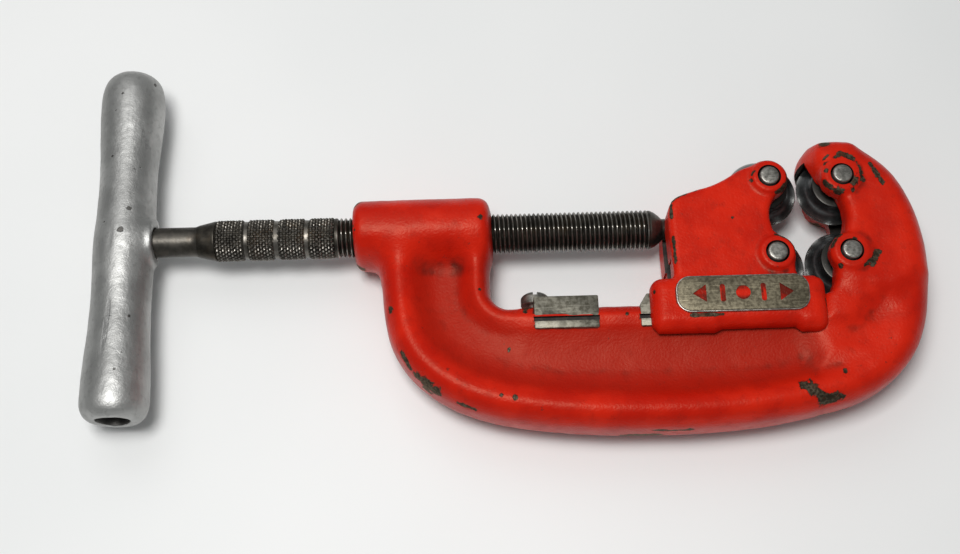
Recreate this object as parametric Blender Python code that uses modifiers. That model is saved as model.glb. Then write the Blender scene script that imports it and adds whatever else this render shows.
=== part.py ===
# Heavy-duty four-wheel pipe cutter, lying flat on its side.
#
# Working frame of the drawing (mm): X runs along the feed screw towards the
# hook, Y runs across the tool towards the mouth, Z is the thickness.  X = 0 is
# the inner face of the threaded hub, Y = 0 and Z = 0 are the screw's own axis.
# Everything hangs on one root empty, which moves the drawing so that the
# origin sits at the middle of the underside of the whole tool.
import math

import bmesh
import bpy
from mathutils import Matrix, Vector

MM = 0.001

# ---------------------------------------------------------------- dimensions
GAP = 0.3                      # clearance between touching pieces

# feed screw: 3/4 in, 12 threads per inch
THREAD_R = 9.5
NECK_R = 5.1
BUTTON_R = 8.0
SHANK_R = 7.0
KNURL_R = 9.8
SCREW_BORE_R = 9.9
SHANK_END_X = -179.0
TAPER_X0, TAPER_X1 = -136.6, -127.8
KNURL_BANDS = ((-127.8, -114.3), (-112.5, -100.2), (-98.0, -85.7), (-83.9, -71.6))
THREAD_X0, THREAD_X1 = -70.0, 76.2
NOSE_X = 82.8
BUTTON_X0, BUTTON_X1 = 90.4, 95.6

# hub of the frame
HUB_X0, HUB_X1 = -62.6, 0.8
HUB_Y, HUB_A, HUB_B = 0.2, 15.7, 21.0

# wheels and their pins
WHEEL_R = 16.7
PAIR_Y = (16.7, -21.0)
HOOK_X = 165.6
SLIDE_X = 131.6
PIN_R, PIN_HALF, PIN_HOLE_R = 4.5, 23.3, 5.1
SLOT_HALF = 10.4
POCKET_R = 17.8
WHEEL_HALF = 8.9
CLIP_Z0, CLIP_Z1, CLIP_R = -10.05, -9.25, 7.0
CLIP_GROOVE_R, CLIP_BORE_R = 3.65, 4.0

# rails of the frame and the slide that runs on them
RAIL_HALF = 14.0
RAIL_TOP, RAIL_BOTTOM = -36.6, -52.0
GROOVE_Y0, GROOVE_Y1, GROOVE_HALF = -46.4, -48.6, 12.0
PAD_X0, PAD_X1 = 20.0, 49.5
RAIL_X0, RAIL_X1, RAIL_CHAMFER = 68.4, 154.5, 3.2
BEAM_TOP = -38.0
SLIDE_BASE = (72.8, 152.4, -31.0, -56.8)       # x0, x1, top, bottom of the skirt
SLIDE_BASE_HALF = 21.6
SLIDE_BLOCK_HALF = 20.2
PLATE = (84.2, 143.4, -40.6, 8.1)              # x0, x1, middle y, half height
PLATE_HALF = PIN_HALF
BOSS_HALF = 22.4

# frame thicknesses
WEB_HALF, PLATE_BODY_HALF, BEAD_HALF, CHEEK_HALF = 6.8, 13.5, 15.6, 20.6
BEAD_A = 9.0                   # half width of the bead along the back
CHEEK_INSET = 5.5

# slide stop screw
STOP_X, STOP_HEAD_R, STOP_TOP, STOP_SEAT, STOP_SHANK_R = 21.3, 6.65, -30.3, -37.3, 3.4

# tee handle, turned about an axis parallel to Y
HANDLE_X = -171.4
HANDLE_TOP, HANDLE_BOTTOM = 88.6, -86.2
HANDLE_BORE_R, HANDLE_BORE_TOP = 8.0, -30.0
COLLAR_R, COLLAR_X1 = 10.8, -156.8
SHANK_BORE_R = 7.3
DRIVE_PIN_R, DRIVE_PIN_HALF = 2.5, 10.6

# middle of the underside of the whole tool in the working frame
CENTRE_X, CENTRE_Y, REST_Z = 8.45, -4.85, PIN_HALF

# ---------------------------------------------------------------- scene tidy
for old in list(bpy.data.objects):
    bpy.data.objects.remove(old, do_unlink=True)

parts = bpy.data.collections.new("pipe_cutter")
cutters = bpy.data.collections.new("cutters")
bpy.context.scene.collection.children.link(parts)
bpy.context.scene.collection.children.link(cutters)

root = bpy.data.objects.new("pipe_cutter_root", None)
root.empty_display_size = 0.05
root.location = Vector((-CENTRE_X, -CENTRE_Y, REST_Z)) * MM
parts.objects.link(root)


# ---------------------------------------------------------------- helpers
def material(name, colour, roughness, metallic):
    mat = bpy.data.materials.new(name)
    mat.use_nodes = True
    shader = mat.node_tree.nodes["Principled BSDF"]
    shader.inputs["Base Color"].default_value = (*colour, 1.0)
    shader.inputs["Roughness"].default_value = roughness
    shader.inputs["Metallic"].default_value = metallic
    mat.diffuse_color = (*colour, 1.0)
    return mat


def bake(ob):
    """Apply every modifier, weld what touches and turn the faces outward."""
    bpy.context.view_layer.update()
    graph = bpy.context.evaluated_depsgraph_get()
    mesh = bpy.data.meshes.new_from_object(ob.evaluated_get(graph))
    mesh.name = ob.name
    bm = bmesh.new()
    bm.from_mesh(mesh)
    bmesh.ops.remove_doubles(bm, verts=bm.verts, dist=1e-6)
    bmesh.ops.dissolve_degenerate(bm, edges=bm.edges, dist=1e-7)
    bmesh.ops.recalc_face_normals(bm, faces=bm.faces)
    bm.to_mesh(mesh)
    bm.free()
    if ob.type == "MESH":
        ob.modifiers.clear()
        ob.data = mesh
        return ob
    solid = bpy.data.objects.new(ob.name, mesh)
    solid.matrix_world = ob.matrix_world
    cutters.objects.link(solid)
    bpy.data.objects.remove(ob, do_unlink=True)
    return solid


def prism(name, outline, low, high, axis="Z"):
    """A flat outline (mm) drawn across the axis and extruded from low to high."""
    curve = bpy.data.curves.new(name, "CURVE")
    curve.dimensions = "2D"
    curve.fill_mode = "BOTH"
    curve.extrude = (high - low) / 2 * MM
    spline = curve.splines.new("POLY")
    spline.points.add(len(outline) - 1)
    for point, (u, v) in zip(spline.points, outline):
        point.co = (u * MM, v * MM, 0.0, 1.0)
    spline.use_cyclic_u = True
    ob = bpy.data.objects.new(name, curve)
    cutters.objects.link(ob)
    ob = bake(ob)
    bm = bmesh.new()
    bm.from_mesh(ob.data)
    flat = [e for e in bm.edges if all(abs(f.normal.z) > 0.99 for f in e.link_faces)]
    bmesh.ops.dissolve_edges(bm, edges=flat, use_verts=False)
    bm.to_mesh(ob.data)
    bm.free()
    ob.data.transform(Matrix.Translation((0, 0, (low + high) / 2 * MM)))
    if axis == "X":            # outline is drawn in (Y, Z)
        ob.data.transform(Matrix(((0, 0, 1, 0), (1, 0, 0, 0), (0, 1, 0, 0), (0, 0, 0, 1))))
    elif axis == "Y":          # outline is drawn in (Z, X)
        ob.data.transform(Matrix(((0, 1, 0, 0), (0, 0, 1, 0), (1, 0, 0, 0), (0, 0, 0, 1))))
    return ob


def box(name, x0, x1, y0, y1, z0, z1):
    bm = bmesh.new()
    bmesh.ops.create_cube(bm, size=1.0)
    mesh = bpy.data.meshes.new(name)
    bm.to_mesh(mesh)
    bm.free()
    size = Vector((x1 - x0, y1 - y0, z1 - z0)) * MM
    middle = Vector((x1 + x0, y1 + y0, z1 + z0)) * (MM / 2)
    mesh.transform(Matrix.Translation(middle) @ Matrix.Diagonal((*size, 1.0)))
    ob = bpy.data.objects.new(name, mesh)
    cutters.objects.link(ob)
    return ob


def swept(name, path, half_width, half_height, sides=14):
    """An oval bar whose centre line follows the path (mm)."""
    oval = bpy.data.curves.new(name + "_section", "CURVE")
    oval.dimensions = "2D"
    spline = oval.splines.new("POLY")
    spline.points.add(sides - 1)
    for k, point in enumerate(spline.points):
        t = 2 * math.pi * k / sides
        point.co = (half_width * MM * math.cos(t), half_height * MM * math.sin(t), 0.0, 1.0)
    spline.use_cyclic_u = True
    section = bpy.data.objects.new(name + "_section", oval)
    cutters.objects.link(section)
    curve = bpy.data.curves.new(name, "CURVE")
    curve.dimensions = "3D"
    curve.twist_mode = "Z_UP"
    curve.bevel_mode = "OBJECT"
    curve.bevel_object = section
    curve.use_fill_caps = True
    spline = curve.splines.new("POLY")
    spline.points.add(len(path) - 1)
    for point, (x, y) in zip(spline.points, path):
        point.co = (x * MM, y * MM, 0.0, 1.0)
    ob = bpy.data.objects.new(name, curve)
    cutters.objects.link(ob)
    ob = bake(ob)
    bpy.data.objects.remove(section, do_unlink=True)
    return ob


def cylinder(name, centre, radius, length, axis="Z", segments=28):
    """A round bar about the centre (mm), along X, Y or Z."""
    bm = bmesh.new()
    bmesh.ops.create_cone(bm, cap_ends=True, segments=segments, radius1=radius * MM,
                          radius2=radius * MM, depth=length * MM)
    mesh = bpy.data.meshes.new(name)
    bm.to_mesh(mesh)
    bm.free()
    turn = {"X": Matrix.Rotation(math.pi / 2, 4, "Y"), "Y": Matrix.Rotation(-math.pi / 2, 4, "X"),
            "Z": Matrix.Identity(4)}[axis]
    mesh.transform(Matrix.Translation(Vector(centre) * MM) @ turn)
    ob = bpy.data.objects.new(name, mesh)
    cutters.objects.link(ob)
    return ob


def turned(name, profile, segments, axis="Z", centre=(0, 0, 0)):
    """A profile of (radius, height) in mm, from the top down, turned about the axis."""
    mesh = bpy.data.meshes.new(name)
    bm = bmesh.new()
    verts = [bm.verts.new((r * MM, 0.0, h * MM)) for r, h in profile]
    for a, b in zip(verts, verts[1:]):
        bm.edges.new((a, b))
    if profile[0][0] > 0 and profile[-1][0] > 0:
        bm.edges.new((verts[-1], verts[0]))
    bm.to_mesh(mesh)
    bm.free()
    ob = bpy.data.objects.new(name, mesh)
    cutters.objects.link(ob)
    screw = ob.modifiers.new("turn", "SCREW")
    screw.axis = "Z"
    screw.steps = segments
    screw.render_steps = segments
    screw.use_merge_vertices = True
    screw.merge_threshold = 0.00001
    bake(ob)
    turn = {"X": Matrix.Rotation(math.pi / 2, 4, "Y"), "Y": Matrix.Rotation(-math.pi / 2, 4, "X"),
            "Z": Matrix.Identity(4)}[axis]
    ob.data.transform(Matrix.Translation(Vector(centre) * MM) @ turn)
    return ob


def soften(ob, width, segments=2, angle=40):
    bevel = ob.modifiers.new("soften", "BEVEL")
    bevel.width = width * MM
    bevel.segments = segments
    bevel.limit_method = "ANGLE"
    bevel.angle_limit = math.radians(angle)
    bevel.use_clamp_overlap = True
    return bake(ob)


def boolean(ob, other, operation, keep=False):
    mod = ob.modifiers.new(operation.lower(), "BOOLEAN")
    mod.operation = operation
    mod.solver = "EXACT"
    mod.object = other
    bake(ob)
    if not keep:
        bpy.data.objects.remove(other, do_unlink=True)
    return ob


def join(ob, *others):
    for other in others:
        boolean(ob, other, "UNION")
    return ob


def cut(ob, *others):
    """Cut with each cutter and leave the cutter, hidden, in its own collection."""
    for other in others:
        boolean(ob, other, "DIFFERENCE", keep=True)
        other.hide_render = True
        other.display_type = "WIRE"
        other.parent = root
    return ob


def finish(ob, name, mat, origin=(0, 0, 0), angle=32):
    """Name the piece, move its origin (mm) and hang it on the root."""
    ob.name = name
    ob.data.name = name
    ob.data.transform(Matrix.Translation(-Vector(origin) * MM))
    ob.location = Vector(origin) * MM
    ob.parent = root
    ob.data.materials.clear()
    ob.data.materials.append(mat)
    ob.data.shade_smooth()
    ob.data.set_sharp_from_angle(angle=math.radians(angle))
    for collection in list(ob.users_collection):
        collection.objects.unlink(ob)
    parts.objects.link(ob)
    return ob


def smooth_path(points, step=5.0):
    """A centripetal Catmull-Rom curve through the points, sampled about every step mm."""
    pts = [Vector(p) for p in points]
    pts = [2 * pts[0] - pts[1]] + pts + [2 * pts[-1] - pts[-2]]
    out = []
    for p0, p1, p2, p3 in zip(pts, pts[1:], pts[2:], pts[3:]):
        t0 = 0.0
        t1 = t0 + math.sqrt((p1 - p0).length)
        t2 = t1 + math.sqrt((p2 - p1).length)
        t3 = t2 + math.sqrt((p3 - p2).length)
        count = max(1, round((p2 - p1).length / step))
        for k in range(count):
            t = t1 + (t2 - t1) * k / count
            a1 = p0 * ((t1 - t) / (t1 - t0)) + p1 * ((t - t0) / (t1 - t0))
            a2 = p1 * ((t2 - t) / (t2 - t1)) + p2 * ((t - t1) / (t2 - t1))
            a3 = p2 * ((t3 - t) / (t3 - t2)) + p3 * ((t - t2) / (t3 - t2))
            b1 = a1 * ((t2 - t) / (t2 - t0)) + a2 * ((t - t0) / (t2 - t0))
            b2 = a2 * ((t3 - t) / (t3 - t1)) + a3 * ((t - t1) / (t3 - t1))
            out.append(b1 * ((t2 - t) / (t2 - t1)) + b2 * ((t - t1) / (t2 - t1)))
    out.append(pts[-2])
    return [(p.x, p.y) for p in out]


def offset_path(path, distance):
    """The path moved to its right-hand side by the distance."""
    out = []
    for i, p in enumerate(path):
        a = Vector(path[max(i - 1, 0)])
        b = Vector(path[min(i + 1, len(path) - 1)])
        t = (b - a).normalized()
        out.append((p[0] + t.y * distance, p[1] - t.x * distance))
    return out


def arc(cx, cy, r, start, stop, count=8):
    out = []
    for k in range(count + 1):
        a = math.radians(start + (stop - start) * k / count)
        out.append((cx + r * math.cos(a), cy + r * math.sin(a)))
    return out


def rounded_box(x0, x1, y0, y1, r, count=5):
    return (arc(x1 - r, y1 - r, r, 0, 90, count) + arc(x0 + r, y1 - r, r, 90, 180, count)
            + arc(x0 + r, y0 + r, r, 180, 270, count) + arc(x1 - r, y0 + r, r, 270, 360, count))


def superellipse(a, b, power, cy=0.0, count=28):
    out = []
    for k in range(count):
        t = 2 * math.pi * k / count
        c, s = math.cos(t), math.sin(t)
        out.append((cy + a * math.copysign(abs(c) ** (2 / power), c),
                    b * math.copysign(abs(s) ** (2 / power), s)))
    return out


def quarter_oval(cx, cy, a, b, power, start, end, count=10):
    """Quarter of a superellipse, from one of its tangent points (degrees) to the next."""
    out = []
    for k in range(count + 1):
        t = math.radians(start + (end - start) * k / count)
        c, s = math.cos(t), math.sin(t)
        out.append((cx + a * math.copysign(abs(c) ** (2 / power), c),
                    cy + b * math.copysign(abs(s) ** (2 / power), s)))
    return out


def shoulder(x0, y0, x1, y1, ease, count=7):
    """A slope from one point to another that is eased at both ends."""
    out = []
    for k in range(count + 1):
        t = k / count
        out.append((x0 + (x1 - x0) * t, y0 + (y1 - y0) * (t + ease * (t * t * (3 - 2 * t) - t))))
    return out


# ---------------------------------------------------------------- materials
RED = (0.62, 0.035, 0.012)
paint_frame = material("paint_frame", RED, 0.38, 0.0)
paint_slide = material("paint_slide", (0.64, 0.040, 0.014), 0.38, 0.0)
steel_screw = material("steel_screw", (0.060, 0.056, 0.050), 0.42, 0.9)
alu_handle = material("aluminium_handle", (0.52, 0.52, 0.51), 0.36, 1.0)
steel_pins = material("steel_pins", (0.42, 0.42, 0.40), 0.34, 1.0)
steel_wheels = material("steel_wheels", (0.24, 0.25, 0.26), 0.33, 1.0)
steel_clips = material("steel_clips", (0.16, 0.16, 0.16), 0.4, 1.0)
steel_stop = material("steel_stop_screw", (0.26, 0.25, 0.23), 0.4, 0.95)

# ---------------------------------------------------------------- frame
# back of the C: three quarter ovals, level where they meet at the belly and upright behind the hook
ARM_BACK_X, HEEL_Y = -50.2, -20.0
BELLY_X, BELLY_Y = 78.0, -98.6
HOOK_BACK_X, HOOK_BACK_Y = 203.9, -25.0
CROWN_X, CROWN_Y = 162.0, 38.2
ARM_POWER, BELLY_POWER, CROWN_POWER = 2.8, 2.7, 2.2
# nose of the hook: a round end and an upright face
NOSE_FACE_X, NOSE_R = 153.2, 6.2
# jaw edge of the hook: a round scallop that clears the pipe, then a straight lean down to the rail
SCALLOP_X, SCALLOP_Y, SCALLOP_R = 140.4, -2.0, 24.7

back = smooth_path([(ARM_BACK_X, -8.0)]
                   + quarter_oval(BELLY_X, HEEL_Y, BELLY_X - ARM_BACK_X, HEEL_Y - BELLY_Y, ARM_POWER, 180, 270)
                   + quarter_oval(BELLY_X, HOOK_BACK_Y, HOOK_BACK_X - BELLY_X, HOOK_BACK_Y - BELLY_Y,
                                  BELLY_POWER, 270, 360)[1:]
                   + quarter_oval(CROWN_X, HOOK_BACK_Y, HOOK_BACK_X - CROWN_X, CROWN_Y - HOOK_BACK_Y,
                                  CROWN_POWER, 0, 90)[1:]
                   + [(NOSE_FACE_X + NOSE_R, CROWN_Y)], 10.0)
nose = smooth_path(arc(NOSE_FACE_X + NOSE_R, CROWN_Y - NOSE_R, NOSE_R, 90, 180, 5)
                   + [(NOSE_FACE_X, 25.0), (NOSE_FACE_X + 1.2, 18.6)], 3.0)
jaw_edge = smooth_path(arc(SCALLOP_X, SCALLOP_Y, SCALLOP_R, 45, -36, 9) + [(158.4, -27.5), (154.8, -38.0)], 4.0)

# inner side of the C: down the arm, round the corner and along under the rails
INNER_A, INNER_B, CORNER_R = 6.6, 13.4, 15.0
inner_x, inner_y = HUB_X1 - INNER_A + 0.2, BEAM_TOP - INNER_A - 1.0
inner_path = ([(inner_x, 4.0), (inner_x, -8.0), (inner_x, -20.0)]
              + arc(inner_x + CORNER_R, inner_y + CORNER_R, CORNER_R, 180, 270, 8)
              + [(40.0, inner_y), (80.0, inner_y), (120.0, inner_y), (158.0, inner_y)])

body_outline = (offset_path(back, -BEAD_A * 0.7)[:-1] + [(p[0] + 4.0, p[1]) for p in nose if p[1] < 31.0]
                + [(p[0] + 0.3, p[1]) for p in jaw_edge]
                + [(154.8, inner_y + 0.5)] + [(x + 0.4, y + 0.4) for x, y in inner_path[11:1:-1]]
                + [(inner_x + 0.4, 2.0), (-44.0, 2.0)])
frame = prism("frame", body_outline, -PLATE_BODY_HALF, PLATE_BODY_HALF)

# raised bead along the back
bead = swept("bead", offset_path(back, -BEAD_A), BEAD_A, BEAD_HALF)

# hub that holds the screw
hub = soften(prism("hub", superellipse(HUB_A, HUB_B, 2.2, HUB_Y), HUB_X0, HUB_X1, "X"), 4.2, 2, 60)

inner_bead = swept("inner_bead", inner_path, INNER_A, INNER_B)

# hook: two thick cheeks round the wheels, drawn as one block that the slot splits later
hook_back = [p for p in offset_path(back, -CHEEK_INSET) if p[0] > 158.0 and p[1] > -32.0]
cheek_outline = (hook_back + arc(161.6, 26.0, 5.0, 110, 180, 3) + [(156.6, 18.6)]
                 + [p for p in jaw_edge if -32.0 < p[1] < 16.5]
                 + arc(176.0, -12.0, 28.0, 235, 304, 5))
cheek = soften(prism("cheek", cheek_outline, -CHEEK_HALF, CHEEK_HALF), 3.6, 2, 60)
bosses = [cylinder("boss", (HOOK_X, y, 0), 9.4, 2 * BOSS_HALF) for y in PAIR_Y]

# machined rails: a short pad by the arm, a gap, and the long rail under the slide
pad = box("pad", PAD_X0, PAD_X1, RAIL_BOTTOM, RAIL_TOP, -RAIL_HALF, RAIL_HALF)
rail = prism("rail", [(RAIL_X0, RAIL_BOTTOM), (RAIL_X1, RAIL_BOTTOM), (RAIL_X1, RAIL_TOP),
                      (RAIL_X0 + RAIL_CHAMFER, RAIL_TOP), (RAIL_X0, RAIL_TOP - 5.0)],
             -RAIL_HALF, RAIL_HALF)

# shallow pocket on each face of the web, between the bead and the rails
pocket_outer = offset_path(back, -2 * BEAD_A + 1.0)
lower = [p for p in pocket_outer if p[1] < -30.0]
inner_side = smooth_path([(178.0, -46.0), (152.0, -52.6), (124.0, -54.0), (60.0, -54.0)]
                         + arc(13.0, -27.0, 27.0, 270, 183, 6), 8.0)
pocket_outline = lower + inner_side
pockets = [prism("web_pocket", pocket_outline, WEB_HALF, 40.0),
           prism("web_pocket", pocket_outline, -40.0, -WEB_HALF)]

# rounded nose of the hook: an oval edge along the top, another down the end, and a ball between
BEAK_A, BEAK_B, BEAK_X, BEAK_Y = 5.4, 17.0, 158.6, 31.6
nose_top = swept("nose_top", [(BEAK_X, BEAK_Y), (165.0, 31.9), (171.0, 31.2)], BEAK_A, BEAK_B)
nose_end = swept("nose_end", [(BEAK_X, BEAK_Y + 0.2), (BEAK_X, 28.0), (BEAK_X + 0.4, 20.0)], BEAK_A, BEAK_B)
ball = bmesh.new()
bmesh.ops.create_uvsphere(ball, u_segments=16, v_segments=10, radius=1.0)
ball_mesh = bpy.data.meshes.new("nose_ball")
ball.to_mesh(ball_mesh)
ball.free()
ball_mesh.transform(Matrix.Translation(Vector((BEAK_X, BEAK_Y + 0.1, 0.0)) * MM)
                    @ Matrix.Diagonal(((BEAK_A + 0.1) * MM, (BEAK_A + 0.1) * MM, (BEAK_B + 0.2) * MM, 1.0)))
nose_ball = bpy.data.objects.new("nose_ball", ball_mesh)
cutters.objects.link(nose_ball)

join(frame, bead, inner_bead, nose_top, nose_end, nose_ball, rail, pad)
cut(frame, *pockets)
join(frame, hub, cheek, *bosses)

grooves = [box("rail_groove", RAIL_X0 - 20.0 if side > 0 else RAIL_X0 - 20.0, RAIL_X1 + 1.0, GROOVE_Y1, GROOVE_Y0,
               min(side * GROOVE_HALF, side * 18.0), max(side * GROOVE_HALF, side * 18.0)) for side in (1, -1)]
pad_grooves = [box("pad_groove", PAD_X0 - 6.0, PAD_X1 + 2.0, GROOVE_Y1, GROOVE_Y0,
                   min(side * GROOVE_HALF, side * 18.0), max(side * GROOVE_HALF, side * 18.0)) for side in (1, -1)]
wheel_slot = prism("wheel_slot", arc(HOOK_X, PAIR_Y[0], POCKET_R, -30, 140, 10)
                   + [(140.0, 30.0), (140.0, -38.0 + GAP)]
                   + arc(HOOK_X, PAIR_Y[1], POCKET_R, 251, 390, 9), -SLOT_HALF, SLOT_HALF)
screw_bore = cylinder("screw_bore", ((HUB_X0 + HUB_X1) / 2, 0, 0), SCREW_BORE_R, 90.0, "X", 32)
pin_bores = [cylinder("pin_bore", (HOOK_X, y, 0), PIN_HOLE_R, 60.0) for y in PAIR_Y]
stop_seat = cylinder("stop_seat", (STOP_X, STOP_SEAT + 10.0, 0), STOP_HEAD_R + 0.5, 20.0, "Y", 32)
stop_bore = cylinder("stop_bore", (STOP_X, STOP_SEAT - 7.0, 0), STOP_SHANK_R + GAP, 20.0, "Y", 24)
wheel_relief = box("wheel_relief", RAIL_X0 - 4.0, RAIL_X1 + 6.0, RAIL_TOP - 2.2, RAIL_TOP + 4.0, -3.5, 3.5)
cut(frame, *grooves, *pad_grooves, wheel_relief, wheel_slot, screw_bore, *pin_bores, stop_seat, stop_bore)
finish(frame, "frame_casting", paint_frame)

# ---------------------------------------------------------------- slide stop screw
dome = [(0.0, STOP_TOP)] + [(STOP_HEAD_R * math.sin(math.radians(a)),
                             STOP_TOP - 3.4 + 3.4 * math.cos(math.radians(a))) for a in (25, 50, 72, 90)]
stop = turned("stop", dome + [(STOP_HEAD_R, STOP_SEAT + GAP), (STOP_SHANK_R, STOP_SEAT + GAP),
                              (STOP_SHANK_R, STOP_SEAT - 14.0), (STOP_SHANK_R - 1.0, STOP_SEAT - 15.0),
                              (0.0, STOP_SEAT - 15.0)], 32, "Y", (STOP_X, 0, 0))
cut(stop, box("driver_slot", STOP_X - 1.05, STOP_X + 1.05, STOP_TOP - 2.8, STOP_TOP + 2.0, -10.0, 10.0))
finish(stop, "slide_stop_screw", steel_stop, (STOP_X, STOP_SEAT, 0))

# ---------------------------------------------------------------- slide
bx0, bx1, by1, by0 = SLIDE_BASE
block_outline = smooth_path([(84.6, -40.0), (84.6, 4.4)] + shoulder(88.0, 8.6, 131.0, 25.4, 0.5), 5.0)[:-1]
block_outline += arc(SLIDE_X, PAIR_Y[0], 8.8, 90, -35, 7)
block_outline += arc(157.0, -3.2, 26.4, 152, 194, 4)
block_outline += arc(SLIDE_X, PAIR_Y[1], 8.8, 60, -20, 6)
block_outline += [(140.4, -40.0)]
slide = soften(prism("slide", block_outline, -SLIDE_BLOCK_HALF, SLIDE_BLOCK_HALF), 2.4, 2, 60)

skirt_outline = ([(bx0 + 3.0, by0 + 0.4), (101.0, by0 + 0.2), (104.5, by0 + 1.8), (137.5, by0 + 2.0),
                  (140.5, by0 - 0.3)] + arc(bx1 - 5.0, by0 + 4.6, 5.0, 270, 360, 4)
                 + arc(bx1 - 5.5, by1 - 5.5, 5.5, 0, 90, 4) + arc(bx0 + 5.5, by1 - 5.5, 5.5, 90, 180, 4)
                 + [(bx0, by0 + 4.0)])
skirt = soften(prism("skirt", skirt_outline, -SLIDE_BASE_HALF, SLIDE_BASE_HALF), 3.6, 2, 60)
px0, px1, pym, ph = PLATE
plate = prism("plate", rounded_box(px0, px1, pym - ph, pym + ph, 6.2), -PLATE_HALF, PLATE_HALF)
slide_bosses = [cylinder("slide_boss", (SLIDE_X, y, 0), 8.4, 2 * BOSS_HALF) for y in PAIR_Y]
join(slide, skirt, plate, *slide_bosses)

# channel over the rails, with a tongue on each leg that runs in the rail groove
channel = prism("rail_channel", [
    (-RAIL_HALF - GAP, RAIL_TOP + 0.4), (-RAIL_HALF - GAP, GROOVE_Y0 - GAP),
    (-GROOVE_HALF - GAP, GROOVE_Y0 - GAP), (-GROOVE_HALF - GAP, GROOVE_Y1 + GAP),
    (-RAIL_HALF - GAP, GROOVE_Y1 + GAP), (-RAIL_HALF - GAP, -70.0),
    (RAIL_HALF + GAP, -70.0), (RAIL_HALF + GAP, GROOVE_Y1 + GAP),
    (GROOVE_HALF + GAP, GROOVE_Y1 + GAP), (GROOVE_HALF + GAP, GROOVE_Y0 - GAP),
    (RAIL_HALF + GAP, GROOVE_Y0 - GAP), (RAIL_HALF + GAP, RAIL_TOP + 0.4)], 60.0, 170.0, "X")
# the drawing above is (Z, Y); turn it to (Y, Z)
channel.data.transform(Matrix(((1, 0, 0, 0), (0, 0, 1, 0), (0, -1, 0, 0), (0, 0, 0, 1))))
bm = bmesh.new()
bm.from_mesh(channel.data)
bmesh.ops.recalc_face_normals(bm, faces=bm.faces)
bm.to_mesh(channel.data)
bm.free()
# left of the block the two legs stand free of each other, so the stop screw passes between them
legs_gap = box("legs_gap", 60.0, 84.6 + 0.2, RAIL_TOP - 4.0, -20.0, -RAIL_HALF - GAP, RAIL_HALF + GAP)
slide_slot = prism("slide_slot", arc(SLIDE_X, PAIR_Y[0], POCKET_R, 120, 205, 8)
                   + arc(SLIDE_X, PAIR_Y[1], POCKET_R, 155, 235, 8)
                   + [(SLIDE_X - 6.0, -46.0), (165.0, -46.0), (165.0, 50.0), (122.0, 50.0)],
                   -SLOT_HALF, SLOT_HALF)
slide_pin_bores = [cylinder("slide_pin_bore", (SLIDE_X, y, 0), PIN_HOLE_R, 60.0) for y in PAIR_Y]
# T-slot that takes the neck and the button of the screw from below
neck_w, button_w = NECK_R + 0.5, BUTTON_R + 0.4
neck_slot = prism("neck_slot", arc(0.0, 0.0, neck_w, -90, 90, 8) + [(-45.0, neck_w), (-45.0, -neck_w)],
                  80.0, BUTTON_X0 - GAP + 0.1, "X")
button_slot = prism("button_slot", arc(0.0, 0.0, button_w, -90, 90, 8) + [(-45.0, button_w), (-45.0, -button_w)],
                    BUTTON_X0 - GAP, BUTTON_X1 + GAP, "X")
cut(slide, channel, legs_gap, slide_slot, *slide_pin_bores, neck_slot, button_slot)
finish(slide, "slide_housing", paint_slide, (SLIDE_X, 0, 0))

# ---------------------------------------------------------------- feed screw
profile = [(0.0, BUTTON_X1), (BUTTON_R - 1.0, BUTTON_X1), (BUTTON_R, BUTTON_X1 - 1.0), (BUTTON_R, BUTTON_X0),
           (NECK_R, BUTTON_X0), (NECK_R, NOSE_X)]
for k in range(1, 6):
    a = math.radians(18 * k)
    profile.append((NECK_R + (THREAD_R - 0.9 - NECK_R) * math.sin(a),
                    THREAD_X1 + (NOSE_X - THREAD_X1) * math.cos(a) ** 0.9 if k < 5 else THREAD_X1 + 0.8))
profile += [(THREAD_R, THREAD_X1 - 0.6), (THREAD_R, THREAD_X0), (THREAD_R - 0.9, THREAD_X0 - 0.2),
            (THREAD_R - 0.9, KNURL_BANDS[3][1] + 0.3)]
for x0, x1 in reversed(KNURL_BANDS):
    profile += [(KNURL_R, x1), (KNURL_R, x0), (KNURL_R - 0.9, x0 - 0.4), (KNURL_R - 0.9, x0 - 1.4)]
profile = profile[:-2]
profile += [(KNURL_R - 0.5, TAPER_X1 - 0.4), (SHANK_R + 0.6, TAPER_X0 + 1.0), (SHANK_R, TAPER_X0 - 1.0),
            (SHANK_R, SHANK_END_X + 0.6), (SHANK_R - 0.6, SHANK_END_X), (0.0, SHANK_END_X)]
screw = turned("screw", profile, 28, "X")
cut(screw, cylinder("drive_pin_hole", (HANDLE_X, 0, 0), DRIVE_PIN_R + GAP, 40.0, "Y", 20))
finish(screw, "feed_screw", steel_screw)

# ---------------------------------------------------------------- tee handle
def grip_radius(y):
    """A slight swell at the middle, a waist on each side of it and a flare toward each end."""
    flare = 1.6 if y > 0 else 1.9
    return 13.6 - y / 700 + 0.8 * math.exp(-(y / 12) ** 2) + flare * (max(abs(y) - 30.0, 0.0) / 42) ** 1.3


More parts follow.
